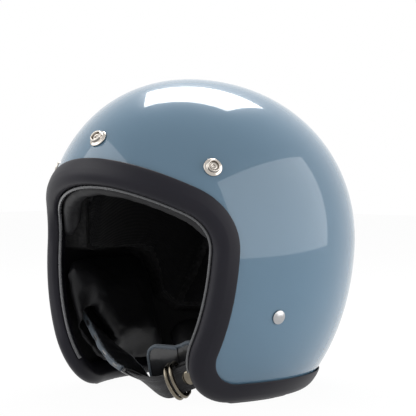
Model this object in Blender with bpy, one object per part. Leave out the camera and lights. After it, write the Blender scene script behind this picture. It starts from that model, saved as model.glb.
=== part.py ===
"""Open face motorcycle helmet: glossy shell with a thick rubber edge, padded lining and a chin strap.

The wearer faces -Y, their left is +X and the helmet stands on z = 0.
Sizes are millimetres until a mesh is made.
"""
import math

import bmesh
import bpy
import numpy as np
from mathutils import Matrix, Vector

MM = 0.001

# Shell form: an egg-shaped dome, leaning back, with separate upper and lower heights
HALF_WIDTH = 114.0
HALF_LENGTH = 134.0
EGG_TAPER = 0.095
EGG_SQUARE = -0.040
DOME_HEIGHT = 125.5
LOWER_STRETCH = 1.24
DOME_POWER = 2.107
DOME_LEAN = 8.62
CENTRE_Y = -2.3
CENTRE_Z = 115.8
STAND_Y = -1.44

# Shell edge in side view: brow, temple corner, jaw corner and level bottom
BROW_Z = 166.8
TEMPLE_CORNER = (-76.3, 134.4)
TEMPLE_RADIUS = 36.0
JAW_CORNER_Y = -87.0
JAW_RADIUS = 38.0
BOTTOM_Z = 2.9
EDGE_STATIONS = 72
SHELL_RINGS = 7
SPREAD_TURNS = 300
EVEN_OUT_TURNS = 900

# Wall thicknesses, from the outside in
SHELL_WALL = 4.0
FOAM_WALL = 19.5
LINER_EDGE_WALL = 3.0
LINER_WALL = 8.0
LINER_EDGE_RUN = 26.0
SEAM_GAP = 0.9
GAP = 0.4
SHELL_FIT = 0.7
FOAM_FIT = 1.2
LINER_FIT = 1.2

# Edge trim section
FACE_FLANGE = 13.5
BOTTOM_FLANGE = 16.0
FLANGE_PROUD = 2.6
FLANGE_TIP = 1.3
LIP_REACH = 5.2
INNER_LEG = 12.0
INNER_LEG_WALL = 6.0
LIP_ROOT = 1.0
LIP_STEPS = 7
FLANGE_SHOULDER = (0.85, 0.8)
FLANGE_CROWN = 0.5
LEG_SHOULDER = (0.75, 0.1)
LEG_END = 0.5
FLOOR_FLAT = 0.6

# Foam liner edge in side view
FOAM_BROW_Z = 180.0
FOAM_TEMPLE_CORNER = (-64.0, 143.0)
FOAM_SIDE_Z = 106.0
FOAM_REAR_Y = 48.5
FOAM_NAPE_Z = 46.0
FOAM_STATIONS = 40
FOAM_RINGS = 4
FOAM_TEMPLE_RADIUS = 40.0
FOAM_FRONT_RADIUS = 12.0
FOAM_REAR_RADIUS = 22.0
FOAM_REAR_SLOPE = 4.0

# Soft pads
BROW_PAD_DROP = 9.5
BROW_PAD_WALL = 15.0
BROW_PAD_SPAN = 0.27
BROW_PAD_TOP = 12.5
BROW_PAD_STATIONS = 23
CHEEK_TOP_Z = 101.0
CHEEK_REAR_Y = 44.0
CHEEK_EDGE_WALL = 6.0
CHEEK_WALL = 22.0
CHEEK_SINK = 2.5
CHEEK_EDGE_RUN = 26.0
CHEEK_FRONT_TOP_Y = -78.0
CHEEK_FRONT_Y = -88.0
CHEEK_BOTTOM_Z = 4.5
CHEEK_TOP_RADIUS = 12.0
CHEEK_REAR_RADIUS = 25.0
CHEEK_JAW_RADIUS = 52.0
CHEEK_STATIONS = 40
CHEEK_RINGS = 2
NECK_PAD_HEIGHT = 39.5
NECK_PAD_WALL = 16.0
NECK_PAD_SPAN = 0.2
NECK_PAD_LOW = 1.5
NECK_PAD_STATIONS = 23
ROLL_SIDES = 10
ROLL_POWER = 0.75
ROLL_END_STATIONS = 3
ROLL_END_SHARE = 0.45
WELT_RADIUS = 1.4
WELT_SPAN = 0.5
WELT_OVER = -5.2
WELT_RISE = 1.2
WELT_STATIONS = 41
WELT_SIDES = 6

# Snap studs on the brow
STUD_CENTRE_Z = 193.1
STUD_SIDE = (-74.9, 172.3)
STUD_FLANGE_RADIUS = 6.8
STUD_POST_RADIUS = 4.8
STUD_HEIGHT = 4.0
EYELET_RADIUS = 2.2
EYELET_BORE = 1.1
WASHER_RADIUS = 5.5
WASHER_WALL = 1.0
STUD_WEB = 1.5
STUD_WALL = 1.4
STUD_SHAPE = ((2.0, 0.2), (0.7, 0.3), (-0.3, 0.42), (0.0, 0.75), (-0.35, 1.0), (-1.0, 1.0),
              (-STUD_WALL, 0.85))
STUD_SIDES = 18
EYELET_SIDES = 16
EYELET_FLANGE = 0.8
EYELET_FOOT_RADIUS = 3.6
EYELET_BEVEL = 0.3
HOLE_CLEARANCE = 0.3
HOLE_SIDES = 16
POCKET_CLEARANCE = 1.2
POCKET_DEPTH = 4.0

# Strap rivets and straps
RIVET_SIDE = (-33.3, 64.7)
RIVET_HEAD_RADIUS = 5.2
RIVET_SHANK_RADIUS = 2.4
RIVET_DOME = 2.2
RIVET_DOME_SHAPE = ((1.0, 0.25), (0.85, 0.62), (0.5, 0.92), (0.0, 1.0))
RIVET_TAIL = 1.2
RIVET_TAIL_RADIUS = 4.1
SWIVEL_CLEARANCE = 0.6
STRAP_DEPTH = 7.2
PLATE_RADIUS = 8.5
TAB_LENGTH = 10.0
STRAP_STATIONS = 33
SLEEVE_CLEARANCE = 0.5
SLOT_SIDES = 16
SLOT_REACH = 45.0
WEB_WIDTH = 19.0
WEB_WALL = 1.6
SLEEVE_WIDTH = 30.0
SLEEVE_WALL = 6.4
SLEEVE_SHOULDER = (0.85, 0.75)
SLOT_LENGTH = 46.0
SLOT_WIDTH = 18.0
PLATE_WALL = 1.0
RING_WIRE = 1.6
RING_INSIDE = 22.0
RING_DEPTH = 17.0
RING_PITCH = 4.4
RING_CORNER = 3.0
RING_CORNER_CUT = 0.3
RING_LEAD = 13.0
BOW_STEPS = 10
BOW_FLATNESS = 0.72
WIRE_SIDES = 8
WEB_IN_RING = 0.55
TAIL_LENGTH = 18.0
FOLD_BACK = 17.0
FOLD_FLAT = 3.0
FOLD_CLOSE = 8.0
FOLD_SPARE = 0.3
FOLD_LEAD = 7.0
FOLD_STEPS = 6
CAP_RADIUS = 5.5
CAP_DOME = 2.0
CAP_SHAPE = ((1.0, 0.4), (0.7, 0.85), (0.0, 1.0))
SOCKET_SHARE = 0.9
POST_RADIUS = 1.8
SOCKET_WALL = 2.2
SNAP_FROM_END = 8.0

# Points along each strap after its rivet: share of the shell's half width there, y and z
STRAP_RUN_LEFT = ((0.8594, -44.0, 52.5), (0.7036, -52.0, 34.0), (0.5783, -56.0, 23.5), (0.4585, -59.5, 18.0))
STRAP_RUN_RIGHT = ((0.8594, -44.0, 52.5), (0.6570, -51.0, 41.0), (0.4522, -57.5, 30.5),
                   (0.1881, -64.5, 19.5), (-0.0906, -70.0, 12.5))
LEFT_SLEEVE = (0.36, 0.72)
RIGHT_SLEEVE = (0.17, 0.66)
FLAP_START = 0.75
FLAP_BEYOND = 27.0
FLAP_WIDTH = 34.0
FLAP_WALL = 5.0
FLAP_SHOULDER = (0.9, 0.7)
FLAP_RISE = 5.0
FLAP_SPARE = 1.0
FLAP_STATIONS = 10
TWIST_LEFT = (0.10, 0.30, -0.95)
TWIST_RIGHT = (0.0, 0.98, -0.20)
LEFT_TWIST_MARKS = (0.2, 0.9, 1.0)
RIGHT_TWIST_MARKS = (0.25, 0.5, 0.6, 0.85, 1.0)


def remove_old_objects():
    for old in list(bpy.data.objects):
        bpy.data.objects.remove(old, do_unlink=True)


# Dome surface

def lean_frame(points):
    lean = math.radians(-DOME_LEAN)
    y = points[..., 1] - CENTRE_Y
    z = points[..., 2] - CENTRE_Z
    along = y * math.cos(lean) + z * math.sin(lean)
    up = -y * math.sin(lean) + z * math.cos(lean)
    return along, up


def dome_level(points):
    """Below zero inside the dome, zero on it."""
    along, up = lean_frame(points)
    e = along / HALF_LENGTH
    width = HALF_WIDTH * (1 + EGG_TAPER * e + EGG_SQUARE * e * e)
    height = np.where(up > 0, DOME_HEIGHT, DOME_HEIGHT * LOWER_STRETCH)
    plan = (points[..., 0] / width) ** 2 + e * e
    return plan ** (DOME_POWER / 2) + np.abs(up / height) ** DOME_POWER - 1


def dome_slope(points):
    step = 0.02
    slope = np.zeros_like(points)
    for axis in range(3):
        shift = np.zeros(3)
        shift[axis] = step
        slope[..., axis] = (dome_level(points + shift) - dome_level(points - shift)) / (2 * step)
    return slope


def dome_normal(points):
    slope = dome_slope(points)
    return slope / np.linalg.norm(slope, axis=-1, keepdims=True)


def on_dome(points):
    points = np.array(points, dtype=float)
    for _ in range(10):
        slope = dome_slope(points)
        points = points - slope * (dome_level(points) / (slope * slope).sum(-1))[..., None]
    return points


def out_to_dome(points):
    """Moves points straight out from the dome's centre onto it."""
    centre = np.array([0.0, CENTRE_Y, CENTRE_Z])
    arms = points - centre
    for _ in range(3):
        arms = arms * (dome_level(centre + arms) + 1)[..., None] ** (-1 / DOME_POWER)
    return centre + arms


def side_x(y, z):
    """Half width of the dome at a place in side view."""
    low = np.zeros_like(y)
    high = np.full_like(y, HALF_WIDTH * 1.2)
    for _ in range(50):
        mid = (low + high) / 2
        inside = dome_level(np.stack([mid, y, z], -1)) < 0
        low = np.where(inside, mid, low)
        high = np.where(inside, high, mid)
    return low


def profile_y(z, side):
    """Where the mid-plane profile crosses a height, in front (-1) or behind (1)."""
    low = 0.0
    high = side * HALF_LENGTH * 1.2
    for _ in range(60):
        mid = (low + high) / 2
        inside = dome_level(np.array([0.0, mid, z])) < 0
        low, high = (mid, high) if inside else (low, mid)
    return low


# Outlines and loops

def rounded_line(corners, per_part=60):
    """Polyline through (y, z, radius) corners, each inner corner replaced by an arc."""
    points = [np.array(corners[0][:2])]
    for before, corner, after in zip(corners, corners[1:], corners[2:]):
        middle = np.array(corner[:2])
        back = np.array(before[:2]) - middle
        ahead = np.array(after[:2]) - middle
        back /= np.linalg.norm(back)
        ahead /= np.linalg.norm(ahead)
        half = math.acos(float(back @ ahead)) / 2
        reach = corner[2] / math.tan(half)
        bisector = (back + ahead) / np.linalg.norm(back + ahead)
        centre = middle + bisector * corner[2] / math.sin(half)
        start = middle + back * reach - centre
        finish = middle + ahead * reach - centre
        sweep = math.pi - 2 * half
        for step in range(per_part + 1):
            t = step / per_part
            arm = (start * math.sin((1 - t) * sweep) + finish * math.sin(t * sweep)) / math.sin(sweep)
            points.append(centre + arm)
    points.append(np.array(corners[-1][:2]))
    return np.array(points)


def spaced(points, count):
    """The same path with count points at equal distances."""
    steps = np.linalg.norm(np.diff(points, axis=0), axis=1)
    along = np.concatenate([[0], np.cumsum(steps)])
    marks = np.linspace(0, along[-1], count)
    return np.stack([np.interp(marks, along, points[:, k]) for k in range(points.shape[1])], 1)


def eased(count):
    """Values from 0 to 1 that crowd towards both ends."""
    return (1 - np.cos(np.linspace(0, math.pi, count))) / 2


def surface_loop(outline, count):
    """Closed symmetric loop on the dome from a side-view line that runs front to rear on the mid plane."""
    fine = spaced(outline, 4000)
    pick = eased(4000) * 3999
    y = np.interp(pick, np.arange(4000), fine[:, 0])
    z = np.interp(pick, np.arange(4000), fine[:, 1])
    x = side_x(y, z)
    x[0] = x[-1] = 0.0
    half = on_dome(spaced(np.stack([x, y, z], 1), count // 2 + 1))
    half[0, 0] = half[-1, 0] = 0.0
    mirror = half[-2:0:-1] * np.array([-1, 1, 1])
    return np.concatenate([half, mirror])


def loop_frame(loop):
    """Direction over the surface away from the opening, at each point of a loop."""
    along = np.roll(loop, -1, axis=0) - np.roll(loop, 1, axis=0)
    along /= np.linalg.norm(along, axis=1, keepdims=True)
    over = np.cross(along, dome_normal(loop))
    over /= np.linalg.norm(over, axis=1, keepdims=True)
    upward = over[len(loop) // 2]
    return over if upward[2] > 0 else -over


def section_point(base, over, reach, height):
    """Point a distance over the surface from the edge and a height along its normal."""
    place = on_dome(base + over * reach)
    return place + dome_normal(place) * height


# Meshes

def make_object(name, verts, faces, material):
    mesh = bpy.data.meshes.new(name)
    model = bmesh.new()
    made = [model.verts.new(Vector(v) * MM) for v in verts]
    for face in faces:
        model.faces.new([made[i] for i in face])
    bmesh.ops.recalc_face_normals(model, faces=model.faces)
    model.to_mesh(mesh)
    model.free()
    mesh.shade_smooth()
    mesh.set_sharp_from_angle(angle=math.radians(40))
    mesh.materials.append(material)
    thing = bpy.data.objects.new(name, mesh)
    bpy.context.collection.objects.link(thing)
    return thing


def loft(name, rings, material, closed=False):
    """Skin over rings of equal point counts, joined end to end or capped."""
    size = len(rings[0])
    verts = [point for ring in rings for point in ring]
    faces = []
    spans = len(rings) if closed else len(rings) - 1
    for k in range(spans):
        first = k * size
        second = (k + 1) % len(rings) * size
        for i in range(size):
            j = (i + 1) % size
            faces.append((first + i, first + j, second + j, second + i))
    if not closed:
        faces.append(tuple(range(size)))
        faces.append(tuple((len(rings) - 1) * size + i for i in range(size)))
    return make_object(name, verts, faces, material)


def patch_grid(loop, rings, middle, hem=None):
    """Quad patch inside a loop of 4n points: a square centre and rings out to the loop, evened out.

    The last ring but one keeps to a hem line beside the loop where one is given.
    """
    count = len(loop)
    side = count // 4
    index = {(i, j): i * (side + 1) + j for i in range(side + 1) for j in range(side + 1)}
    border = [(0, j) for j in range(side)] + [(i, side) for i in range(side)]
    border += [(side, j) for j in range(side, 0, -1)] + [(i, 0) for i in range(side, 0, -1)]
    start = border.index((0, side // 2))
    border = border[start:] + border[:start]
    faces = [(index[i, j], index[i, j + 1], index[i + 1, j + 1], index[i + 1, j])
             for i in range(side) for j in range(side)]
    first_ring = len(index)
    inner = [index[cell] for cell in border]
    points = np.repeat(np.array(middle, dtype=float)[None], first_ring + rings * count, axis=0)
    points[inner] += (loop - middle) / (rings + 1)
    for ring in range(rings):
        outer = [first_ring + ring * count + k for k in range(count)]
        points[outer] += (loop - middle) * (ring + 2) / (rings + 1)
        for k in range(count):
            m = (k + 1) % count
            faces.append((inner[k], inner[m], outer[m], outer[k]))
        inner = outer
    pairs = np.array(sorted({tuple(sorted((f[a], f[(a + 1) % 4]))) for f in faces for a in range(4)}))
    pairs = np.concatenate([pairs, pairs[:, ::-1]])
    if hem is not None:
        points[-2 * count:-count] = hem
    free = np.arange(len(points)) < len(points) - count * (1 if hem is None else 2)
    for turn in range(EVEN_OUT_TURNS):
        ends = points[pairs[:, 1]]
        gaps = np.linalg.norm(ends - points[pairs[:, 0]], axis=1)
        pull = np.ones_like(gaps) if turn < SPREAD_TURNS else gaps
        near = np.stack([np.bincount(pairs[:, 0], pull * ends[:, k]) for k in range(3)], 1)
        near /= np.bincount(pairs[:, 0], pull)[:, None]
        points[free] = out_to_dome((points[free] + near[free]) / 2)
    points[free] = on_dome(points[free])
    return points, faces


def thick_patch(name, patch, outer, inner, material):
    """Closed wall between two offsets of a patch, each a number or one value per point."""
    points, faces = patch
    normal = dome_normal(points)
    size = len(points)
    outside = points + normal * np.broadcast_to(outer, size)[:, None]
    inside = points + normal * np.broadcast_to(inner, size)[:, None]
    skin = [tuple(f) for f in faces] + [tuple(size + i for i in reversed(f)) for f in faces]
    skin += [(a, b, size + b, size + a) for a, b in border_edges(faces)]
    return make_object(name, np.concatenate([outside, inside]), skin, material)


def border_edges(faces):
    """Edges that only one face has."""
    uses = {}
    for face in faces:
        for a, b in zip(face, face[1:] + face[:1]):
            edge = (min(a, b), max(a, b))
            uses[edge] = uses.get(edge, 0) + 1
    return [edge for edge, count in uses.items() if count == 1]


def border_points(faces):
    return sorted({point for edge in border_edges(faces) for point in edge})


def rim_distance(patch):
    """Distance of each patch point from the patch's rim."""
    points, faces = patch
    rim = points[border_points(faces)]
    return np.min(np.linalg.norm(points[:, None] - rim[None], axis=2), axis=1)


def turned(name, profile, segments, material):
    """Piece turned about Z from a closed (radius, height) profile, or a solid one that meets the axis."""
    mesh = bpy.data.meshes.new(name)
    model = bmesh.new()
    made = [model.verts.new((r * MM, 0, z * MM)) for r, z in profile]
    edges = [model.edges.new((a, b)) for a, b in zip(made, made[1:])]
    if profile[0][0] > 0:
        edges.append(model.edges.new((made[-1], made[0])))
    bmesh.ops.spin(model, geom=made + edges, cent=(0, 0, 0), axis=(0, 0, 1), angle=2 * math.pi,
                   steps=segments, use_merge=True)
    bmesh.ops.remove_doubles(model, verts=model.verts, dist=1e-6)
    bmesh.ops.recalc_face_normals(model, faces=model.faces)
    model.to_mesh(mesh)
    model.free()
    mesh.shade_smooth()
    mesh.set_sharp_from_angle(angle=math.radians(35))
    mesh.materials.append(material)
    thing = bpy.data.objects.new(name, mesh)
    bpy.context.collection.objects.link(thing)
    return thing


def stand_on(thing, place, normal):
    """Puts a turned piece on the dome with its axis along the normal."""
    turn = Vector((0, 0, 1)).rotation_difference(Vector(normal))
    thing.rotation_mode = "QUATERNION"
    thing.rotation_quaternion = turn
    thing.location = Vector(place) * MM


def set_origin(thing, place):
    """Moves an object's origin without moving its shape."""
    here = Vector(place) * MM
    thing.data.transform(Matrix.Translation(-here))
    thing.location = here


def cut(thing, cutter):
    cutter.hide_render = True
    cutter.display_type = "WIRE"
    hole = thing.modifiers.new("hole", "BOOLEAN")
    hole.operation = "DIFFERENCE"
    hole.solver = "EXACT"
    hole.object = cutter


def join_group(name, things):
    """One object from several turned pieces already in place."""
    bpy.context.view_layer.update()
    model = bmesh.new()
    for thing in things:
        part = thing.data.copy()
        part.transform(thing.matrix_world)
        model.from_mesh(part)
        bpy.data.meshes.remove(part)
    mesh = bpy.data.meshes.new(name)
    model.to_mesh(mesh)
    model.free()
    mesh.materials.append(things[0].data.materials[0])
    for thing in things:
        bpy.data.objects.remove(thing, do_unlink=True)
    group = bpy.data.objects.new(name, mesh)
    bpy.context.collection.objects.link(group)
    return group


def finish(name, colour, roughness, metallic=0.0):
    """Plain Principled material."""
    material = bpy.data.materials.new(name)
    material.use_nodes = True
    shader = material.node_tree.nodes["Principled BSDF"]
    shader.inputs["Base Color"].default_value = (*colour, 1)
    shader.inputs["Roughness"].default_value = roughness
    shader.inputs["Metallic"].default_value = metallic
    return material


# Paths and ribbons

def smooth_path(points, count):
    """Curve through points by Catmull-Rom, at equal steps."""
    points = np.array(points, dtype=float)
    ends = np.concatenate([[2 * points[0] - points[1]], points, [2 * points[-1] - points[-2]]])
    fine = []
    for k in range(1, len(ends) - 2):
        a, b, c, d = ends[k - 1:k + 3]
        for t in np.linspace(0, 1, 40, endpoint=False):
            fine.append(0.5 * (2 * b + (c - a) * t + (2 * a - 5 * b + 4 * c - d) * t * t
                               + (3 * b - a - 3 * c + d) * t ** 3))
    fine.append(points[-1])
    return spaced(np.array(fine), count)


def ribbon_frames(path, widths):
    """Unit width and face directions along a path from wanted width directions."""
    along = np.gradient(path, axis=0)
    along /= np.linalg.norm(along, axis=1, keepdims=True)
    across = widths - along * (widths * along).sum(1, keepdims=True)
    across /= np.linalg.norm(across, axis=1, keepdims=True)
    return across, np.cross(along, across)


def ribbon_ring(centre, across, face, section):
    return [centre + across * w + face * f for w, f in section]


# Pieces of the shell and lining

PAD_DEPTH = SHELL_WALL + SHELL_FIT + INNER_LEG_WALL + GAP
FOAM_DEPTH = SHELL_WALL + FOAM_FIT
LINER_DEPTH = FOAM_DEPTH + FOAM_WALL + LINER_FIT


def smooth_step(value):
    value = np.clip(value, 0, 1)
    return value * value * (3 - 2 * value)


def crown_point():
    return np.array([0.0, CENTRE_Y, CENTRE_Z + DOME_HEIGHT])


def edge_outline():
    return rounded_line([(profile_y(BROW_Z, -1), BROW_Z), (*TEMPLE_CORNER, TEMPLE_RADIUS),
                         (JAW_CORNER_Y, BOTTOM_Z, JAW_RADIUS), (profile_y(BOTTOM_Z, 1), BOTTOM_Z)])


def foam_outline():
    return rounded_line([(profile_y(FOAM_BROW_Z, -1), FOAM_BROW_Z), (*FOAM_TEMPLE_CORNER, FOAM_TEMPLE_RADIUS),
                         (FOAM_TEMPLE_CORNER[0], FOAM_SIDE_Z, FOAM_FRONT_RADIUS),
                         (FOAM_REAR_Y, FOAM_SIDE_Z, FOAM_REAR_RADIUS),
                         (FOAM_REAR_Y + FOAM_REAR_SLOPE, FOAM_NAPE_Z, FOAM_REAR_RADIUS),
                         (profile_y(FOAM_NAPE_Z, 1), FOAM_NAPE_Z)])


def outer_shell(loop, bolts, material):
    hem = on_dome(loop + loop_frame(loop) * INNER_LEG)
    patch = patch_grid(loop, SHELL_RINGS, crown_point(), hem)
    shell = thick_patch("outer_shell", patch, 0.0, -SHELL_WALL, material)
    cut(shell, bolt_cutter("shell_holes", [(place, radius + HOLE_CLEARANCE) for place, radius in bolts],
                           STUD_HEIGHT, -SHELL_WALL - STUD_HEIGHT))
    return shell


def foam_liner(patch, studs, material):
    foam = thick_patch("foam_liner", patch, -FOAM_DEPTH, -FOAM_DEPTH - FOAM_WALL, material)
    pockets = [(place, WASHER_RADIUS + POCKET_CLEARANCE) for place in studs]
    cut(foam, bolt_cutter("foam_pockets", pockets, 0.0, -FOAM_DEPTH - POCKET_DEPTH))
    return foam


def comfort_liner(patch, material):
    """Liner sewn from two crown panels and four side panels."""
    points, faces = patch
    side = FOAM_STATIONS // 4
    crown = side * side
    for number, name in enumerate(("liner_crown_right", "liner_crown_left")):
        group = [face for k, face in enumerate(faces[:crown]) if k % side // (side // 2) == number]
        liner_panel(name, points, group, material)
    for number, name in enumerate(("liner_front", "liner_left", "liner_rear", "liner_right")):
        group = [face for k, face in enumerate(faces[crown:])
                 if (k % FOAM_STATIONS + side // 2) // side % 4 == number]
        liner_panel(name, points, group, material)


def liner_panel(name, points, faces, material):
    """One padded panel that swells between its seams, drawn in from its neighbours by the seam's gap."""
    used = sorted({i for face in faces for i in face})
    number = {old: new for new, old in enumerate(used)}
    faces = [tuple(number[i] for i in face) for face in faces]
    points = points[used]
    inward = np.zeros_like(points)
    for face in faces:
        for i in face:
            inward[i] += points[list(face)].mean(axis=0) - points[i]
    rim = border_points(faces)
    inward = inward[rim] / np.linalg.norm(inward[rim], axis=1, keepdims=True)
    points[rim] = on_dome(points[rim] + inward * SEAM_GAP / 2)
    swell = smooth_step(rim_distance((points, faces)) / LINER_EDGE_RUN)
    wall = LINER_EDGE_WALL + (LINER_WALL - LINER_EDGE_WALL) * swell
    return thick_patch(name, (points, faces), -LINER_DEPTH, -LINER_DEPTH - wall, material)


def flange_width(point):
    up_cheek = smooth_step((point[2] - BOTTOM_Z) / JAW_RADIUS)
    return BOTTOM_FLANGE + (FACE_FLANGE - BOTTOM_FLANGE) * up_cheek


def trim_section(flange):
    """Closed (over, height) outline: flange, rounded lip, inner leg and the slot that takes the shell."""
    slot = -SHELL_WALL - SHELL_FIT
    back = slot - INNER_LEG_WALL
    middle = (FLANGE_PROUD + back) / 2
    half = (FLANGE_PROUD - back) / 2
    section = [(flange, SHELL_FIT), (flange, FLANGE_TIP),
               (flange * FLANGE_SHOULDER[0], FLANGE_PROUD * FLANGE_SHOULDER[1]),
               (flange * FLANGE_CROWN, FLANGE_PROUD)]
    for step in range(LIP_STEPS + 1):
        angle = math.pi * (0.5 - step / LIP_STEPS)
        section.append((LIP_ROOT - (LIP_REACH + LIP_ROOT) * math.cos(angle), middle + half * math.sin(angle)))
    section += [(INNER_LEG * LEG_SHOULDER[0], back + INNER_LEG_WALL * LEG_SHOULDER[1]),
                (INNER_LEG, back + INNER_LEG_WALL * LEG_END), (INNER_LEG, slot), (-SHELL_FIT, slot),
                (-SHELL_FIT, SHELL_FIT), (flange * FLANGE_CROWN, SHELL_FIT)]
    return section


def edge_trim(loop, material):
    """Rubber edge swept round the whole rim, flat where it stands on the floor."""
    over = loop_frame(loop)
    rings = []
    for base, way in zip(loop, over):
        ring = np.array([section_point(base, way, d, h) for d, h in trim_section(flange_width(base))])
        ring[:, 2] = np.where(ring[:, 2] < FLOOR_FLAT, 0.0, ring[:, 2])
        rings.append(ring)
    return loft("edge_trim", rings, material, closed=True)


def edge_stretch(loop, middle, span, count):
    """Points and over-surface directions along part of the edge, about the front (0) or the rear (0.5)."""
    size = len(loop)
    over = loop_frame(loop)
    marks = (middle + np.linspace(-span, span, count)) * size
    low = np.floor(marks).astype(int)
    part = (marks - low)[:, None]
    base = loop[low % size] * (1 - part) + loop[(low + 1) % size] * part
    way = over[low % size] * (1 - part) + over[(low + 1) % size] * part
    return on_dome(base), way / np.linalg.norm(way, axis=1, keepdims=True)


def roll_section(low, high, wall, sides):
    """Oval (over, height) outline of a stuffed roll, fuller on its inner side."""
    section = []
    for step in range(sides):
        angle = 2 * math.pi * step / sides
        bulge = math.copysign(abs(math.sin(angle)) ** ROLL_POWER, math.sin(angle))
        spread = math.copysign(abs(math.cos(angle)) ** ROLL_POWER, math.cos(angle))
        section.append(((low + high + spread * (high - low)) / 2, -PAD_DEPTH + (bulge - 1) * wall / 2))
    return section


def stuffed_roll(name, loop, middle, span, count, low, high, wall, material):
    """Padded roll along the inside of the edge, drawn in towards its ends."""
    base, way = edge_stretch(loop, middle, span, count)
    rings = []
    for k in range(count):
        end = min(k, count - 1 - k) / ROLL_END_STATIONS
        full = math.sqrt(max(0.0, 1 - (1 - min(end, 1.0)) ** 2)) * (1 - ROLL_END_SHARE) + ROLL_END_SHARE
        centre = (low + high) / 2
        section = roll_section(centre + (low - centre) * full, centre + (high - centre) * full, wall * full,
                               ROLL_SIDES)
        rings.append([section_point(base[k], way[k], d, h) for d, h in section])
    return loft(name, rings, material)


def liner_welt(loop, material):
    """Thin piping that follows the trim's lip round the face opening."""
    base, way = edge_stretch(loop, 0.0, WELT_SPAN / 2, WELT_STATIONS)
    centre = WELT_RISE - PAD_DEPTH
    rings = []
    for k in range(WELT_STATIONS):
        ring = []
        for step in range(WELT_SIDES):
            angle = 2 * math.pi * step / WELT_SIDES
            ring.append(section_point(base[k], way[k], WELT_OVER + WELT_RADIUS * math.cos(angle),
                                      centre + WELT_RADIUS * math.sin(angle)))
        rings.append(ring)
    return loft("liner_welt", rings, material)


def cheek_loop(side):
    corners = [(CHEEK_FRONT_TOP_Y, CHEEK_TOP_Z, CHEEK_TOP_RADIUS),
               (CHEEK_REAR_Y, CHEEK_TOP_Z, CHEEK_REAR_RADIUS),
               (CHEEK_REAR_Y, CHEEK_BOTTOM_Z, CHEEK_REAR_RADIUS),
               (CHEEK_FRONT_Y, CHEEK_BOTTOM_Z, CHEEK_JAW_RADIUS)]
    start = (CHEEK_FRONT_TOP_Y + (CHEEK_FRONT_Y - CHEEK_FRONT_TOP_Y) / 4,
             CHEEK_TOP_Z + (CHEEK_BOTTOM_Z - CHEEK_TOP_Z) / 4)
    outline = spaced(rounded_line([start, *corners, start]), CHEEK_STATIONS + 1)[:-1]
    x = side_x(outline[:, 0], outline[:, 1])
    return np.stack([side * x, outline[:, 0], outline[:, 1]], 1)


def cheek_pad(name, side, material):
    """Crowned pad behind the cheek edge with a slot that the strap comes through."""
    loop = cheek_loop(side)
    middle = on_dome(loop.mean(axis=0)[None])[0]
    patch = patch_grid(loop, CHEEK_RINGS, middle)
    swell = smooth_step(rim_distance(patch) / CHEEK_EDGE_RUN)
    wall = CHEEK_EDGE_WALL + (CHEEK_WALL - CHEEK_EDGE_WALL) * swell
    back = PAD_DEPTH + CHEEK_SINK
    pad = thick_patch(name, patch, -back, -back - wall, material)
    cut(pad, slot_cutter(name + "_slot", side))
    return pad


# Fasteners

def brow_stud_places():
    side = np.array([STUD_SIDE])
    x = float(side_x(side[:, 0], side[:, 1])[0])
    return {"centre": np.array([0.0, profile_y(STUD_CENTRE_Z, -1), STUD_CENTRE_Z]),
            "left": np.array([x, *STUD_SIDE]), "right": np.array([-x, *STUD_SIDE])}


def rivet_place(side):
    spot = np.array([RIVET_SIDE])
    return np.array([side * float(side_x(spot[:, 0], spot[:, 1])[0]), *RIVET_SIDE])


def bolt_cutter(name, bolts, top, bottom):
    """Round cutters along the shell's normal at each place."""
    posts = []
    for number, (place, radius) in enumerate(bolts):
        profile = [(0, bottom), (radius, bottom), (radius, top), (0, top)]
        post = turned(f"{name}_{number}", profile, HOLE_SIDES, bpy.data.materials["steel"])
        stand_on(post, place, dome_normal(place))
        posts.append(post)
    return join_group(name, posts)


def snap_stud(name, place, material):
    """Round stud: flange, waist, raised collar with a flat rim, and a hollow middle."""
    profile = [(STUD_FLANGE_RADIUS, 0.0)]
    profile += [(STUD_POST_RADIUS + out, STUD_HEIGHT * up) for out, up in STUD_SHAPE]
    profile += [(STUD_POST_RADIUS - STUD_WALL, STUD_WEB), (EYELET_RADIUS + HOLE_CLEARANCE, STUD_WEB),
                (EYELET_RADIUS + HOLE_CLEARANCE, 0.0)]
    profile = [(radius, GAP + height) for radius, height in profile]
    stud = turned(name, profile, STUD_SIDES, material)
    stand_on(stud, place, dome_normal(place))
    return stud


def snap_eyelet(name, place, material):
    """Hollow rivet that clamps a stud to the shell."""
    top = GAP + STUD_WEB + GAP
    foot = -SHELL_WALL - SHELL_FIT - WASHER_WALL - GAP
    head = STUD_POST_RADIUS - STUD_WALL - GAP
    profile = [(EYELET_BORE, foot - EYELET_FLANGE), (EYELET_FOOT_RADIUS, foot - EYELET_FLANGE),
               (EYELET_FOOT_RADIUS, foot), (EYELET_RADIUS, foot), (EYELET_RADIUS, top), (head, top),
               (head - EYELET_BEVEL, top + EYELET_FLANGE), (EYELET_BORE, top + EYELET_FLANGE)]
    eyelet = turned(name, profile, EYELET_SIDES, material)
    stand_on(eyelet, place, dome_normal(place))
    return eyelet


def flat_ring(name, place, bore, radius, top, wall, material):
    ring = turned(name, [(bore, top - wall), (radius, top - wall), (radius, top), (bore, top)], EYELET_SIDES,
                  material)
    stand_on(ring, place, dome_normal(place))
    return ring


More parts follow.
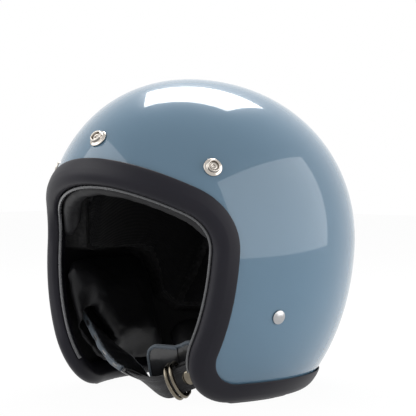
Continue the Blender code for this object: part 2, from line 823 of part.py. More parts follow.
def strap_rivet(name, side, material):
    """Low domed head outside, shank through the shell and the webbing, flattened tail inside."""
    tail = -STRAP_DEPTH - WEB_WALL / 2 - PLATE_WALL - GAP - SWIVEL_CLEARANCE
    profile = [(0, tail - RIVET_TAIL), (RIVET_TAIL_RADIUS, tail - RIVET_TAIL), (RIVET_TAIL_RADIUS, tail),
               (RIVET_SHANK_RADIUS, tail), (RIVET_SHANK_RADIUS, GAP), (RIVET_HEAD_RADIUS, GAP)]
    profile += [(RIVET_HEAD_RADIUS * out, GAP + RIVET_DOME * up) for out, up in RIVET_DOME_SHAPE]
    rivet = turned(name, profile, STUD_SIDES, material)
    place = rivet_place(side)
    stand_on(rivet, place, dome_normal(place))
    return rivet


# Chin strap

def own_side(points, side):
    """Points written for the wearer's left, moved to the wanted side."""
    return np.array(points, dtype=float) * np.array([side, 1, 1])


def in_shell(run):
    """Places inside the shell from shares of its half width, for the wearer's left."""
    run = np.array(run)
    return np.stack([run[:, 0] * side_x(run[:, 1], run[:, 2]), run[:, 1], run[:, 2]], 1)


def strap_root():
    """Start of the left strap at its rivet, the shell's normal there and the strap's way down."""
    place = rivet_place(1)
    normal = dome_normal(place)
    root = place - normal * STRAP_DEPTH
    way = in_shell(STRAP_RUN_LEFT)[0] - root
    way -= normal * (way @ normal)
    return root, normal, way / np.linalg.norm(way)


def strap_path(run, end_ways):
    """Centre line and width directions of one strap, for the wearer's left."""
    root, normal, way = strap_root()
    points = [root - way * TAB_LENGTH, root, root + way * TAB_LENGTH, *run]
    path = smooth_path(points, STRAP_STATIONS)
    along = np.linspace(0, 1, STRAP_STATIONS)
    start = np.cross(normal, way)
    marks = [0.0, *(mark for mark, _ in end_ways)]
    ways = np.array([start, *(np.array(w) / np.linalg.norm(w) for _, w in end_ways)])
    widths = np.stack([np.interp(along, marks, ways[:, k]) for k in range(3)], 1)
    return path, widths


def left_strap():
    ways = (np.cross(*strap_root()[1:]), TWIST_LEFT, TWIST_LEFT)
    return strap_path(in_shell(STRAP_RUN_LEFT), list(zip(LEFT_TWIST_MARKS, ways)))


def ring_frame():
    """Bar centre of the first D-ring and the strap's along, width and face directions there."""
    path, widths = left_strap()
    along = path[-1] - path[-2]
    along /= np.linalg.norm(along)
    width = widths[-1] - along * (widths[-1] @ along)
    width /= np.linalg.norm(width)
    return path[-1], along, width, np.cross(along, width)


def right_strap():
    """The right strap runs on through both D-rings and ends in a free tail."""
    bar, along, width, face = ring_frame()
    cross = bar + face * RING_DEPTH * WEB_IN_RING
    run = [*in_shell(STRAP_RUN_RIGHT)]
    run += [own_side(cross + along * reach, -1) for reach in (RING_LEAD, -RING_PITCH, -TAIL_LENGTH)]
    bar_way = own_side(width, -1)
    ways = (np.cross(*strap_root()[1:]), TWIST_RIGHT, TWIST_RIGHT, bar_way, bar_way)
    return strap_path(run, list(zip(RIGHT_TWIST_MARKS, ways)))


def web_section():
    half = WEB_WIDTH / 2
    wall = WEB_WALL / 2
    return [(-half, -wall), (half, -wall), (half, wall), (-half, wall)]


def padded_section(half, wall, shoulder):
    """Eight-point (width, face) outline of a padded strip with soft shoulders."""
    edge = half * shoulder[0]
    rise = wall * shoulder[1]
    return [(-half, 0), (-edge, rise), (0, wall), (edge, rise),
            (half, 0), (edge, -rise), (0, -wall), (-edge, -rise)]


def webbing(name, path, widths, side, material):
    """Flat webbing with a hole for its rivet."""
    across, face = ribbon_frames(path, widths)
    rings = [own_side(ribbon_ring(c, a, f, web_section()), side) for c, a, f in zip(path, across, face)]
    strap = loft(name, rings, material)
    place = rivet_place(side)
    cut(strap, bolt_cutter(name + "_hole", [(place, RIVET_SHANK_RADIUS + SWIVEL_CLEARANCE)], 0.0,
                           -STRAP_DEPTH - STRAP_DEPTH))
    return strap


def left_webbing(material):
    """The left webbing folds round both D-ring bars and back along itself."""
    path, widths = left_strap()
    bar, along, width, face = ring_frame()
    wrap = RING_WIRE + GAP + WEB_WALL / 2
    under = WEB_WALL + GAP
    fold = [(-FOLD_FLAT, wrap), (RING_PITCH, wrap)]
    for step in range(1, FOLD_STEPS):
        angle = math.pi * step / FOLD_STEPS
        fold.append((RING_PITCH + wrap * math.sin(angle), wrap * math.cos(angle)))
    fold += [(RING_PITCH, -wrap), (-FOLD_FLAT, -wrap), (-FOLD_CLOSE, -under - FOLD_SPARE),
             (-FOLD_BACK, -under)]
    keep = np.linalg.norm(path - bar, axis=1) > FOLD_LEAD
    loop = np.array([bar + along * a + face * f for a, f in fold])
    whole = np.concatenate([path[keep], loop])
    ways = np.concatenate([widths[keep], np.repeat(width[None], len(loop), axis=0)])
    return webbing("chin_webbing_left", whole, ways, 1, material)


def sleeve(name, path, widths, first, last, side, material):
    """Padded sleeve round the webbing between two shares of its length."""
    across, face = ribbon_frames(path, widths)
    stretch = slice(round(first * (len(path) - 1)), round(last * (len(path) - 1)) + 1)
    centre, across, face = path[stretch], across[stretch], face[stretch]
    half = SLEEVE_WIDTH / 2
    wall = SLEEVE_WALL / 2
    hole = WEB_WIDTH / 2 + SLEEVE_CLEARANCE
    gap = WEB_WALL / 2 + SLEEVE_CLEARANCE
    outer = padded_section(half, wall, SLEEVE_SHOULDER)
    inner = padded_section(hole, gap, (1, 1))
    rings = [own_side(ribbon_ring(c, a, f, outer), side) for c, a, f in zip(centre, across, face)]
    rings += [own_side(ribbon_ring(c, a, f, inner), side) for c, a, f in zip(centre, across, face)][::-1]
    return loft(name, rings, material, closed=True)


def ring_flap(material):
    """Padded flap behind the D-rings that keeps them off the chin."""
    path, widths = left_strap()
    bar, along, width, face = ring_frame()
    across, faces = ribbon_frames(path, widths)
    start = round(FLAP_START * (len(path) - 1))
    behind = RING_WIRE + WEB_WALL + 2 * GAP + FLAP_WALL / 2 + FLAP_SPARE
    line = [path[k] - faces[k] * behind - across[k] * FLAP_RISE for k in range(start, len(path))]
    ways = [across[k] for k in range(start, len(path))]
    level = along * np.array([1, 1, 0]) / np.linalg.norm(along[:2])
    line.append(line[-1] + level * FLAP_BEYOND)
    ways.append(width)
    centre = spaced(np.array(line), FLAP_STATIONS)
    across, faces = ribbon_frames(centre, np.array([ways[0] + (ways[-1] - ways[0]) * k / (FLAP_STATIONS - 1)
                                                    for k in range(FLAP_STATIONS)]))
    half = FLAP_WIDTH / 2
    wall = FLAP_WALL / 2
    section = padded_section(half, wall, FLAP_SHOULDER)
    rings = [ribbon_ring(c, a, f, section) for c, a, f in zip(centre, across, faces)]
    return loft("ring_flap", rings, material)


def slot_cutter(name, side):
    """Rounded slot along the strap where it comes through a cheek pad."""
    path, widths = left_strap() if side > 0 else right_strap()
    across, face = ribbon_frames(path, widths)
    near = int(np.argmin(np.linalg.norm(path - in_shell(STRAP_RUN_LEFT)[0], axis=1)))
    along = np.cross(across[near], face[near])
    half = SLOT_LENGTH / 2 - SLOT_WIDTH / 2
    ring = []
    for step in range(SLOT_SIDES):
        angle = 2 * math.pi * (step + 0.5) / SLOT_SIDES
        end = half if math.cos(angle) > 0 else -half
        ring.append((end + SLOT_WIDTH / 2 * math.cos(angle), SLOT_WIDTH / 2 * math.sin(angle)))
    rings = []
    for reach in (-SLOT_REACH, SLOT_REACH):
        rings.append(own_side(ribbon_ring(path[near] + along * reach, across[near], face[near], ring), side))
    return loft(name, rings, bpy.data.materials["steel"])


def d_ring(name, shift, material):
    """D-shaped wire ring: a straight bar in the webbing's fold and a bow that takes the other strap."""
    bar, along, width, face = ring_frame()
    centre = bar + along * shift
    half = RING_INSIDE / 2 + RING_WIRE
    corner = RING_CORNER
    nip = RING_CORNER * RING_CORNER_CUT
    rise = half * BOW_FLATNESS
    line = []
    for step in range(BOW_STEPS + 1):
        angle = math.pi * step / BOW_STEPS
        line.append((half * math.cos(angle), RING_DEPTH - rise + rise * math.sin(angle)))
    line += [(-half, corner), (-half + nip, nip), (-half + corner, 0.0),
             (half - corner, 0.0), (half - nip, nip), (half, corner)]
    line = np.array([centre + width * w + face * f for w, f in line])
    ahead = np.roll(line, -1, axis=0) - line
    ahead /= np.linalg.norm(ahead, axis=1, keepdims=True)
    turn = ahead + np.roll(ahead, 1, axis=0)
    turn /= np.linalg.norm(turn, axis=1, keepdims=True)
    out = np.cross(turn, along)
    rings = []
    for point, side in zip(line, out):
        rings.append([point + (side * math.cos(a) + along * math.sin(a)) * RING_WIRE
                      for a in (2 * math.pi * k / WIRE_SIDES for k in range(WIRE_SIDES))])
    ring = loft(name, rings, material, closed=True)
    set_origin(ring, centre)
    return ring


def tail_snap(material):
    """Press snap near the end of the free tail: cap with a post in front, socket ring behind."""
    bar, along, width, face = ring_frame()
    spot = bar + face * RING_DEPTH * WEB_IN_RING - along * (TAIL_LENGTH - SNAP_FROM_END)
    top = WEB_WALL / 2 + GAP
    foot = -top - SOCKET_WALL
    hole = POST_RADIUS + GAP
    dome = [(CAP_RADIUS * out, top + CAP_DOME * up) for out, up in CAP_SHAPE]
    stem = [(0, foot), (POST_RADIUS, foot), (POST_RADIUS, top), (CAP_RADIUS, top)]
    cap = turned("tail_snap_cap", stem + dome, EYELET_SIDES, material)
    socket = turned("tail_snap_socket", [(hole, foot), (CAP_RADIUS * SOCKET_SHARE, foot), (CAP_RADIUS, -top),
                                         (hole, -top)], EYELET_SIDES, material)
    post = turned("tail_hole", [(0, foot), (hole, foot), (hole, top), (0, top)], EYELET_SIDES, material)
    for piece in (cap, socket, post):
        stand_on(piece, spot, face)
    return cap, socket, post


def empty(name, place):
    thing = bpy.data.objects.new(name, None)
    thing.location = Vector(place) * MM
    bpy.context.collection.objects.link(thing)
    return thing


def main():
    remove_old_objects()
    paint = finish("shell_paint", (0.165, 0.23, 0.30), 0.08)
    rubber = finish("trim_rubber", (0.022, 0.022, 0.027), 0.45)
    foam = finish("foam", (0.03, 0.03, 0.03), 0.9)
    cloth = finish("lining_cloth", (0.012, 0.012, 0.014), 0.85)
    leather = finish("pad_leather", (0.02, 0.02, 0.022), 0.5)
    piping = finish("piping", (0.05, 0.05, 0.055), 0.3)
    chrome = finish("chrome", (0.75, 0.74, 0.72), 0.12, 1.0)
    steel = finish("steel", (0.55, 0.55, 0.54), 0.35, 1.0)
    web = finish("webbing", (0.015, 0.015, 0.017), 0.7)
    vinyl = finish("sleeve_vinyl", (0.018, 0.019, 0.021), 0.3)

    loop = surface_loop(edge_outline(), EDGE_STATIONS)
    studs = brow_stud_places()
    rivets = {"left": 1, "right": -1}
    bolts = [(place, EYELET_RADIUS) for place in studs.values()]
    bolts += [(rivet_place(side), RIVET_SHANK_RADIUS) for side in rivets.values()]
    outer_shell(loop, bolts, paint)
    edge_trim(loop, rubber)

    foam_patch = patch_grid(surface_loop(foam_outline(), FOAM_STATIONS), FOAM_RINGS, crown_point())
    foam_liner(foam_patch, studs.values(), foam)
    comfort_liner(foam_patch, cloth)
    stuffed_roll("brow_pad", loop, 0.0, BROW_PAD_SPAN / 2, BROW_PAD_STATIONS, -BROW_PAD_DROP,
                 BROW_PAD_TOP, BROW_PAD_WALL, leather)
    stuffed_roll("neck_roll", loop, 0.5, NECK_PAD_SPAN / 2, NECK_PAD_STATIONS, NECK_PAD_LOW,
                 NECK_PAD_LOW + NECK_PAD_HEIGHT, NECK_PAD_WALL, leather)
    liner_welt(loop, piping)
    for name, side in rivets.items():
        cheek_pad("cheek_pad_" + name, side, leather)
    for name, place in studs.items():
        snap_stud("visor_stud_" + name, place, chrome)
        snap_eyelet("visor_stud_eyelet_" + name, place, chrome)
        flat_ring("visor_stud_washer_" + name, place, EYELET_RADIUS + HOLE_CLEARANCE, WASHER_RADIUS,
                  -SHELL_WALL - SHELL_FIT, WASHER_WALL, steel)

    strap = []
    for name, side in rivets.items():
        strap_rivet("strap_rivet_" + name, side, steel)
        bore = RIVET_SHANK_RADIUS + SWIVEL_CLEARANCE
        strap.append(flat_ring("strap_plate_" + name, rivet_place(side), bore, PLATE_RADIUS,
                               -STRAP_DEPTH - WEB_WALL / 2 - GAP, PLATE_WALL, steel))
    path, widths = left_strap()
    strap += [left_webbing(web), ring_flap(vinyl)]
    strap.append(sleeve("strap_sleeve_left", path, widths, *LEFT_SLEEVE, 1, vinyl))
    path, widths = right_strap()
    tail = webbing("chin_webbing_right", path, widths, -1, web)
    cap, socket, post = tail_snap(chrome)
    cut(tail, post)
    strap += [tail, sleeve("strap_sleeve_right", path, widths, *RIGHT_SLEEVE, -1, vinyl), cap, socket]
    strap += [d_ring("d_ring_inner", 0.0, chrome), d_ring("d_ring_outer", RING_PITCH, chrome)]

    stand = empty("helmet", (0.0, STAND_Y, 0.0))
    hinge = strap_root()[0] * np.array([0, 1, 1])
    swing = empty("chin_strap", hinge)
    swing.parent = stand
    for piece in strap:
        piece.location -= Vector(hinge) * MM
        piece.parent = swing
    for thing in bpy.data.objects:
        if thing.type == "MESH" and thing.parent is None:
            thing.parent = stand


main()
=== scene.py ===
"""Open face motorcycle helmet: gloss blue-grey shell, rubber edge, padded lining and a buckled chin strap.

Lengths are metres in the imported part's own frame: the wearer faces -Y and their left is +X.
"""

import math

import bpy
import numpy as np
from mathutils import Matrix, Vector


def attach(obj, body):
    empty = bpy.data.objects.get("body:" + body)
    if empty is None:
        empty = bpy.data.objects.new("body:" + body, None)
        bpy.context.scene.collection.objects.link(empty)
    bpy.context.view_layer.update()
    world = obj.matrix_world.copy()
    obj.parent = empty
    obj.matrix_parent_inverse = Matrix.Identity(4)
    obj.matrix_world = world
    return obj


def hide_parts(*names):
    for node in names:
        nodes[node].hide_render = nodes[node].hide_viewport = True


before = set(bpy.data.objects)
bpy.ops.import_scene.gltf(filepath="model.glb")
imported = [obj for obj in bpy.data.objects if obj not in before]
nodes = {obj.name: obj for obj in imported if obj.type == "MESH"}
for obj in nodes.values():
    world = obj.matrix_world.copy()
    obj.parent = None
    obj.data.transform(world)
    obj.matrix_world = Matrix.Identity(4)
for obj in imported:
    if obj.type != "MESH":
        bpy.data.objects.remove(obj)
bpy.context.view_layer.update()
bpy.ops.object.select_all(action="DESELECT")

MM = 0.001

# Shell form
HALF_WIDTH = 0.114
HALF_LENGTH = 0.134
EGG_TAPER = 0.095
EGG_SQUARE = -0.040
DOME_HEIGHT = 0.1255
LOWER_STRETCH = 1.24
DOME_POWER = 2.107
DOME_LEAN = math.radians(8.62)
STAND_Y = -0.00144
DOME_CENTRE = np.array([0.0, -0.0023 + STAND_Y, 0.1158])
SHELL_WALL = 0.004
SHELL_CUTS = 63
SHELL_UNDER_TRIM = 0.006

# Shell edge in side view, as (y, z) and corner radius
BROW_Z = 0.1668
TEMPLE_CORNER = (-0.0763 + STAND_Y, 0.1344, 0.036)
JAW_CORNER = (-0.0870 + STAND_Y, 0.0029, 0.038)
BOTTOM_Z = 0.0029
EDGE_STATIONS = 288
FINE_STATIONS = 4000

# Edge trim section
FACE_FLANGE = 0.0135
BOTTOM_FLANGE = 0.016
FLOOR_FLAT = 0.0006

# Brow studs and strap rivets, as (y, z) in side view
STUD_CENTRE_Z = 0.1931
STUD_SIDE = (-0.0749 + STAND_Y, 0.1723)
RIVET_SIDE = (-0.0333 + STAND_Y, 0.0647)
GAP = 0.0004

# Piping and pads behind the trim
WELT_RADIUS = 0.0014
WELT_SPAN = 0.5
WELT_OVER = -0.0052
WELT_DEPTH = 0.0099
PAD_VOXEL = 0.004
PANEL_VOXEL = 0.0025
CLOTH_FRAMES = 20
CLOTH_PRESSURE = 4.0
PAD_SWELL = 0.004
PANEL_SWELL = 0.002

# Chin strap
STRAP_DEPTH = 0.0072
TAB_LENGTH = 0.010
CAD_STATIONS = 33
STRAP_STATIONS = 129
WEB_WIDTH = 0.019
WEB_WALL = 0.0016
WEB_HOLE = 0.0030
SLEEVE_WIDTH = 0.030
SLEEVE_WALL = 0.0064
SLEEVE_CHANNEL = (0.0100, 0.0013)
SLEEVE_END = 0.06
SLEEVE_END_WALL = 0.75
DEEP_PUCKER = 0.05
FINE_PUCKER = 0.03
LEFT_SLEEVE = (0.36, 0.72)
RIGHT_SLEEVE = (0.17, 0.66)
FLAP_START = 0.75
FLAP_BEYOND = 0.027
FLAP_WIDTH = 0.034
FLAP_WALL = 0.005
FLAP_RISE = 0.005
FLAP_BACK = 0.0075
FLAP_CORNER = 0.009
FLAP_END_WALL = 0.35
FLAP_STATIONS = 81
BINDING_WIDTH = 0.0027
BINDING_HOLD = 0.42
BINDING_SWAY = 0.0006
BINDING_INSET = 0.0012
SLEEVE_BINDING = 0.0021
FLAP_BINDING = 0.0019
SEAM_INSET = 0.0010
FLAP_SEAM = 0.0018
THREAD_RADIUS = 0.0003
STITCH_PITCH = 0.0036
STITCH_LENGTH = 0.0024

# D-rings
RING_WIRE = 0.0016
RING_INSIDE = 0.022
RING_DEPTH = 0.017
RING_PITCH = 0.0044
RING_CORNER = 0.003
RING_LEAD = 0.013
BOW_FLATNESS = 0.72
WEB_IN_RING = 0.55
TAIL_LENGTH = 0.018
SNAP_FROM_END = 0.008
FOLD_LEAD = 0.007
FOLD_FLAT = 0.003
FOLD_CLOSE = 0.008
FOLD_SPARE = 0.0003
FOLD_BACK = 0.017

# Points along each strap after its rivet: share of the shell's half width there, y and z
STRAP_RUN_LEFT = ((0.8594, -0.0440, 0.0525), (0.7036, -0.0520, 0.0340), (0.5783, -0.0560, 0.0235),
                  (0.4585, -0.0595, 0.0180))
STRAP_RUN_RIGHT = ((0.8594, -0.0440, 0.0525), (0.6570, -0.0510, 0.0410), (0.4522, -0.0575, 0.0305),
                   (0.1881, -0.0645, 0.0195), (-0.0906, -0.0700, 0.0125))
TWIST_LEFT = (0.10, 0.30, -0.95)
TWIST_RIGHT = (0.0, 0.98, -0.20)
LEFT_TWIST_MARKS = (0.2, 0.9, 1.0)
RIGHT_TWIST_MARKS = (0.25, 0.5, 0.6, 0.85, 1.0)

# Camera fitted to the photograph
CAMERA_PLACE = (0.6680, -0.7769 + STAND_Y, 0.1660)
CAMERA_RIGHT = Vector((0.7628, 0.6467, 0.0))
CAMERA_AHEAD = Vector((-0.6465, 0.7625, -0.0243))
CAMERA_LENS = 112.19
FLOOR_SIDE = 8.0
FLOOR_GLOW = 0.97
ROOM_LIGHT = 0.20


# Dome surface

def dome_level(points):
    """Below zero inside the dome, zero on it."""
    y = points[..., 1] - DOME_CENTRE[1]
    z = points[..., 2] - DOME_CENTRE[2]
    along = (y * math.cos(DOME_LEAN) - z * math.sin(DOME_LEAN)) / HALF_LENGTH
    up = y * math.sin(DOME_LEAN) + z * math.cos(DOME_LEAN)
    width = HALF_WIDTH * (1 + EGG_TAPER * along + EGG_SQUARE * along * along)
    height = np.where(up > 0, DOME_HEIGHT, DOME_HEIGHT * LOWER_STRETCH)
    plan = (points[..., 0] / width) ** 2 + along * along
    return plan ** (DOME_POWER / 2) + np.abs(up / height) ** DOME_POWER - 1


def dome_slope(points):
    step = 2e-5
    slopes = []
    for axis in range(3):
        shift = np.zeros(3)
        shift[axis] = step
        slopes.append((dome_level(points + shift) - dome_level(points - shift)) / (2 * step))
    return np.stack(slopes, -1)


def dome_normal(points):
    return unit(dome_slope(points))


def on_dome(points):
    points = np.array(points, dtype=float)
    for _ in range(10):
        slope = dome_slope(points)
        points = points - slope * (dome_level(points) / (slope * slope).sum(-1))[..., None]
    return points


def side_x(y, z):
    """Half width of the dome at places in side view."""
    low = np.zeros_like(y)
    high = np.full_like(y, HALF_WIDTH * 1.2)
    for _ in range(50):
        middle = (low + high) / 2
        inside = dome_level(np.stack([middle, y, z], -1)) < 0
        low = np.where(inside, middle, low)
        high = np.where(inside, high, middle)
    return low


def profile_y(z, side):
    """Where the middle profile crosses a height, in front (-1) or behind (1)."""
    low = 0.0
    high = side * HALF_LENGTH * 1.2
    for _ in range(60):
        middle = (low + high) / 2
        inside = dome_level(np.array([0.0, middle, z])) < 0
        low, high = (middle, high) if inside else (low, middle)
    return low


# Outlines

def rounded_line(corners, steps=60):
    """Line through (y, z, radius) corners, with each inner corner an arc."""
    points = [np.array(corners[0][:2])]
    for before, corner, after in zip(corners, corners[1:], corners[2:]):
        middle = np.array(corner[:2])
        back = np.array(before[:2]) - middle
        ahead = np.array(after[:2]) - middle
        back /= np.linalg.norm(back)
        ahead /= np.linalg.norm(ahead)
        half = math.acos(float(back @ ahead)) / 2
        reach = corner[2] / math.tan(half)
        centre = middle + (back + ahead) / np.linalg.norm(back + ahead) * corner[2] / math.sin(half)
        first = middle + back * reach - centre
        last = middle + ahead * reach - centre
        sweep = math.pi - 2 * half
        for share in np.linspace(0, 1, steps + 1):
            arm = (first * math.sin((1 - share) * sweep) + last * math.sin(share * sweep)) / math.sin(sweep)
            points.append(centre + arm)
    points.append(np.array(corners[-1][:2]))
    return np.array(points)


def unit(vectors):
    return vectors / np.linalg.norm(vectors, axis=-1, keepdims=True)


def run_along(points):
    """Distance along a path at each of its points."""
    return np.concatenate([[0], np.cumsum(np.linalg.norm(np.diff(points, axis=0), axis=1))])


def read_at(marks, along, rows):
    """Rows of values at marks, read between the places along a path where they are known."""
    return np.stack([np.interp(marks, along, column) for column in rows.T], 1)


def spaced(points, count):
    """The same path with count points at equal distances."""
    points = np.asarray(points, float)
    along = run_along(points)
    return read_at(np.linspace(0, along[-1], count), along, points)


def edge_outline():
    return rounded_line([(profile_y(BROW_Z, -1), BROW_Z), TEMPLE_CORNER, JAW_CORNER,
                         (profile_y(BOTTOM_Z, 1), BOTTOM_Z)])


def edge_loop(count):
    """Closed loop on the dome along the shell's edge, from the brow's middle down the wearer's left."""
    fine = spaced(edge_outline(), FINE_STATIONS)
    marks = (1 - np.cos(np.linspace(0, math.pi, FINE_STATIONS))) / 2 * (FINE_STATIONS - 1)
    y, z = read_at(marks, np.arange(FINE_STATIONS), fine).T
    x = side_x(y, z)
    x[0] = x[-1] = 0.0
    half = on_dome(spaced(np.stack([x, y, z], 1), count // 2 + 1))
    half[0, 0] = half[-1, 0] = 0.0
    return np.concatenate([half, half[-2:0:-1] * np.array([-1, 1, 1])])


def away_from_opening(loop):
    """Direction over the surface away from the opening, at each point of a loop."""
    along = np.roll(loop, -1, axis=0) - np.roll(loop, 1, axis=0)
    over = unit(np.cross(along, dome_normal(loop)))
    return over if over[len(loop) // 2, 2] > 0 else -over


def section_rows(base, over, sections):
    """One row of points at each place, from its own (reach, height) section over the surface."""
    sections = np.broadcast_to(sections, (len(base), *np.shape(sections)[-2:]))
    places = on_dome(base[:, None] + over[:, None] * sections[..., :1])
    return places + dome_normal(places) * sections[..., 1:]


# Making meshes by hand

def pick(piece):
    """Makes a piece the active one and the only one selected."""
    bpy.ops.object.select_all(action="DESELECT")
    bpy.context.view_layer.objects.active = piece
    piece.select_set(True)


def edit(piece):
    pick(piece)
    bpy.ops.object.mode_set(mode="EDIT")
    bpy.ops.mesh.select_all(action="SELECT")


def leave_edit():
    bpy.ops.object.mode_set(mode="OBJECT")
    bpy.ops.object.select_all(action="DESELECT")


def apply_modifiers(piece):
    pick(piece)
    for modifier in list(piece.modifiers):
        bpy.ops.object.modifier_apply(modifier=modifier.name)


def shade(piece, angle=None):
    pick(piece)
    if angle is None:
        bpy.ops.object.shade_smooth()
    else:
        bpy.ops.object.shade_smooth_by_angle(angle=math.radians(angle))


def skin(name, rows, ring=False, round_trip=False, capped=False):
    """Grid primitive whose corners are moved to rows of points, with its UV map in metres.

    A ring joins each row's last point to its first, and a round trip joins the last row to the first.
    """
    rows = np.asarray(rows, float)
    if ring:
        rows = np.concatenate([rows, rows[:, :1]], axis=1)
    if round_trip:
        rows = np.concatenate([rows, rows[:1]], axis=0)
    high, wide = rows.shape[:2]
    bpy.ops.mesh.primitive_grid_add(x_subdivisions=wide - 1, y_subdivisions=high - 1, size=1)
    piece = bpy.context.active_object
    piece.name = name
    piece.data.name = name
    piece.data.vertices.foreach_set("co", rows.reshape(-1))
    across = np.linalg.norm(np.diff(rows, axis=1), axis=2).sum(1).mean()
    along = np.linalg.norm(np.diff(rows, axis=0), axis=2).sum(0).mean()
    layer = piece.data.uv_layers[0].data
    places = np.zeros(len(layer) * 2)
    layer.foreach_get("uv", places)
    layer.foreach_set("uv", (places.reshape(-1, 2) * (across, along)).reshape(-1))
    edit(piece)
    bpy.ops.mesh.remove_doubles(threshold=1e-7)
    if capped:
        bpy.ops.mesh.select_all(action="SELECT")
        bpy.ops.mesh.fill_holes(sides=0)
    bpy.ops.mesh.select_all(action="SELECT")
    bpy.ops.mesh.normals_make_consistent(inside=False)
    leave_edit()
    shade(piece)
    return piece


def turned(name, profile, place, normal, sides=64):
    """Piece turned about a normal from (radius, height) points in millimetres."""
    normal = Vector(normal).normalized()
    side = normal.orthogonal().normalized()
    other = normal.cross(side)
    rows = []
    for angle in np.linspace(0, 2 * math.pi, sides, endpoint=False):
        arm = np.array(side * math.cos(angle) + other * math.sin(angle))
        rows.append([np.array(place) + (arm * r + np.array(normal) * h) * MM for r, h in profile])
    return skin(name, rows, round_trip=True)


def rounded(points, steps=3):
    """Softer copy of an open profile: its inner corners are cut twice or more."""
    points = np.array(points, float)
    for _ in range(steps):
        quarter = points[:-1] * 0.75 + points[1:] * 0.25
        three = points[:-1] * 0.25 + points[1:] * 0.75
        middle = np.stack([quarter, three], 1).reshape(-1, 2)
        points = np.concatenate([points[:1], middle[1:-1], points[-1:]])
    return points


def dress(piece, finish, body, slot, *stands_for):
    """Gives a piece its finish and the body it moves with, and hides the nodes it stands for; the slot
    argument is not used.
    """
    piece.data.materials.clear()
    piece.data.materials.append(finish.material)
    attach(piece, body)
    if stands_for:
        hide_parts(*stands_for)
    return piece


# Finishes

class Value:
    """A shader socket that Python arithmetic turns into Math nodes."""

    def __init__(self, finish, socket):
        self.finish = finish
        self.socket = socket

    def maths(self, operation, first, second):
        return self.finish.node("ShaderNodeMath", {"operation": operation}, {0: first, 1: second})

    def __add__(self, other):
        return self.maths("ADD", self, other)

    def __sub__(self, other):
        return self.maths("SUBTRACT", self, other)

    def __rsub__(self, other):
        return self.maths("SUBTRACT", other, self)

    def __mul__(self, other):
        return self.maths("MULTIPLY", self, other)

    __radd__ = __add__
    __rmul__ = __mul__


class Finish:
    """One material, its Principled shader and the nodes that feed it."""

    def __init__(self, name, **constants):
        self.material = bpy.data.materials.new(name)
        self.material.use_nodes = True
        self.tree = self.material.node_tree
        self.shader = self.tree.nodes["Principled BSDF"]
        for socket, value in constants.items():
            self.shader.inputs[socket.replace("_", " ")].default_value = value

    def node(self, kind, settings=None, sockets=None, output=0):
        made = self.tree.nodes.new(kind)
        for name, value in (settings or {}).items():
            if name == "stops":
                for stop, (place, colour) in zip(made.color_ramp.elements, value):
                    stop.position = place
                    stop.color = (*colour, 1)
            else:
                setattr(made, name, value)
        for name, value in (sockets or {}).items():
            self.feed(made.inputs[name], value)
        return Value(self, made.outputs[output])

    def feed(self, socket, value):
        if isinstance(value, Value):
            self.tree.links.new(value.socket, socket)
        else:
            socket.default_value = value

    def drive(self, **links):
        for socket, value in links.items():
            self.feed(self.shader.inputs[socket.replace("_", " ")], value)

    def place(self):
        return self.node("ShaderNodeTexCoord", output=3)

    def cloth_place(self):
        return self.node("ShaderNodeTexCoord", output=2)

    def noise(self, scale, detail=2.0, place=None):
        sockets = {"Vector": place or self.place(), "Scale": scale, "Detail": detail}
        return self.node("ShaderNodeTexNoise", {}, sockets)

    def ramp(self, value, low, high):
        """A value between 0 and 1 spread between two levels."""
        return self.node("ShaderNodeMapRange", {}, {"Value": value, "To Min": low, "To Max": high})

    def tint(self, amount, first, second):
        sockets = {0: amount, 6: (*first, 1), 7: (*second, 1)}
        return self.node("ShaderNodeMix", {"data_type": "RGBA"}, sockets, 2)

    def part(self, place, axis):
        """One axis of a place."""
        return self.node("ShaderNodeSeparateXYZ", {}, {0: place}, axis)

    def wave(self, value, pitch):
        """Sine of a length that repeats at a pitch, from 0 to 1."""
        turn = value * (2 * math.pi / pitch)
        return self.node("ShaderNodeMath", {"operation": "SINE"}, {0: turn}) * 0.5 + 0.5

    def cells(self, scale, place=None):
        return self.node("ShaderNodeTexVoronoi", {}, {"Vector": place or self.place(), "Scale": scale})

    def bump(self, height, strength, distance, under=None):
        sockets = {"Height": height, "Strength": strength, "Distance": distance}
        if under is not None:
            sockets["Normal"] = under
        return self.node("ShaderNodeBump", {}, sockets)


def shell_paint():
    paint = Finish("shell_paint", Coat_Weight=0.75, Coat_Roughness=0.015, Specular_IOR_Level=0.1)
    mist = paint.noise(9.0, 3.0)
    paint.drive(Base_Color=paint.tint(mist, (0.108, 0.190, 0.268), (0.115, 0.199, 0.279)),
                Roughness=paint.ramp(paint.noise(40.0), 0.22, 0.28))
    return paint


def shell_inside():
    resin = Finish("shell_inside")
    grain = resin.noise(300.0, 4.0)
    # Near-black tones: the resin's own dark colour, and painted shade so gaps behind the lining look dark.
    resin.drive(Base_Color=resin.tint(grain, (0.006, 0.006, 0.007), (0.016, 0.016, 0.018)),
                Roughness=resin.ramp(grain, 0.6, 0.85), Normal=resin.bump(grain, 0.4, 0.0006))
    return resin


def trim_rubber():
    rubber = Finish("trim_rubber", Specular_IOR_Level=0.2)
    patches = rubber.noise(25.0, 3.0)
    grain = rubber.noise(1400.0, 2.0)
    rubber.drive(Base_Color=rubber.tint(patches, (0.006, 0.006, 0.010), (0.011, 0.010, 0.016)),
                 Roughness=rubber.ramp(patches, 0.42, 0.52), Normal=rubber.bump(grain, 0.10, 0.0003))
    return rubber


def bright_plate():
    plate = Finish("bright_plate", Metallic=1.0)
    smudge = plate.noise(180.0, 3.0)
    plate.drive(Base_Color=plate.tint(smudge, (0.56, 0.53, 0.49), (0.42, 0.38, 0.34)),
                Roughness=plate.ramp(smudge, 0.08, 0.22))
    return plate


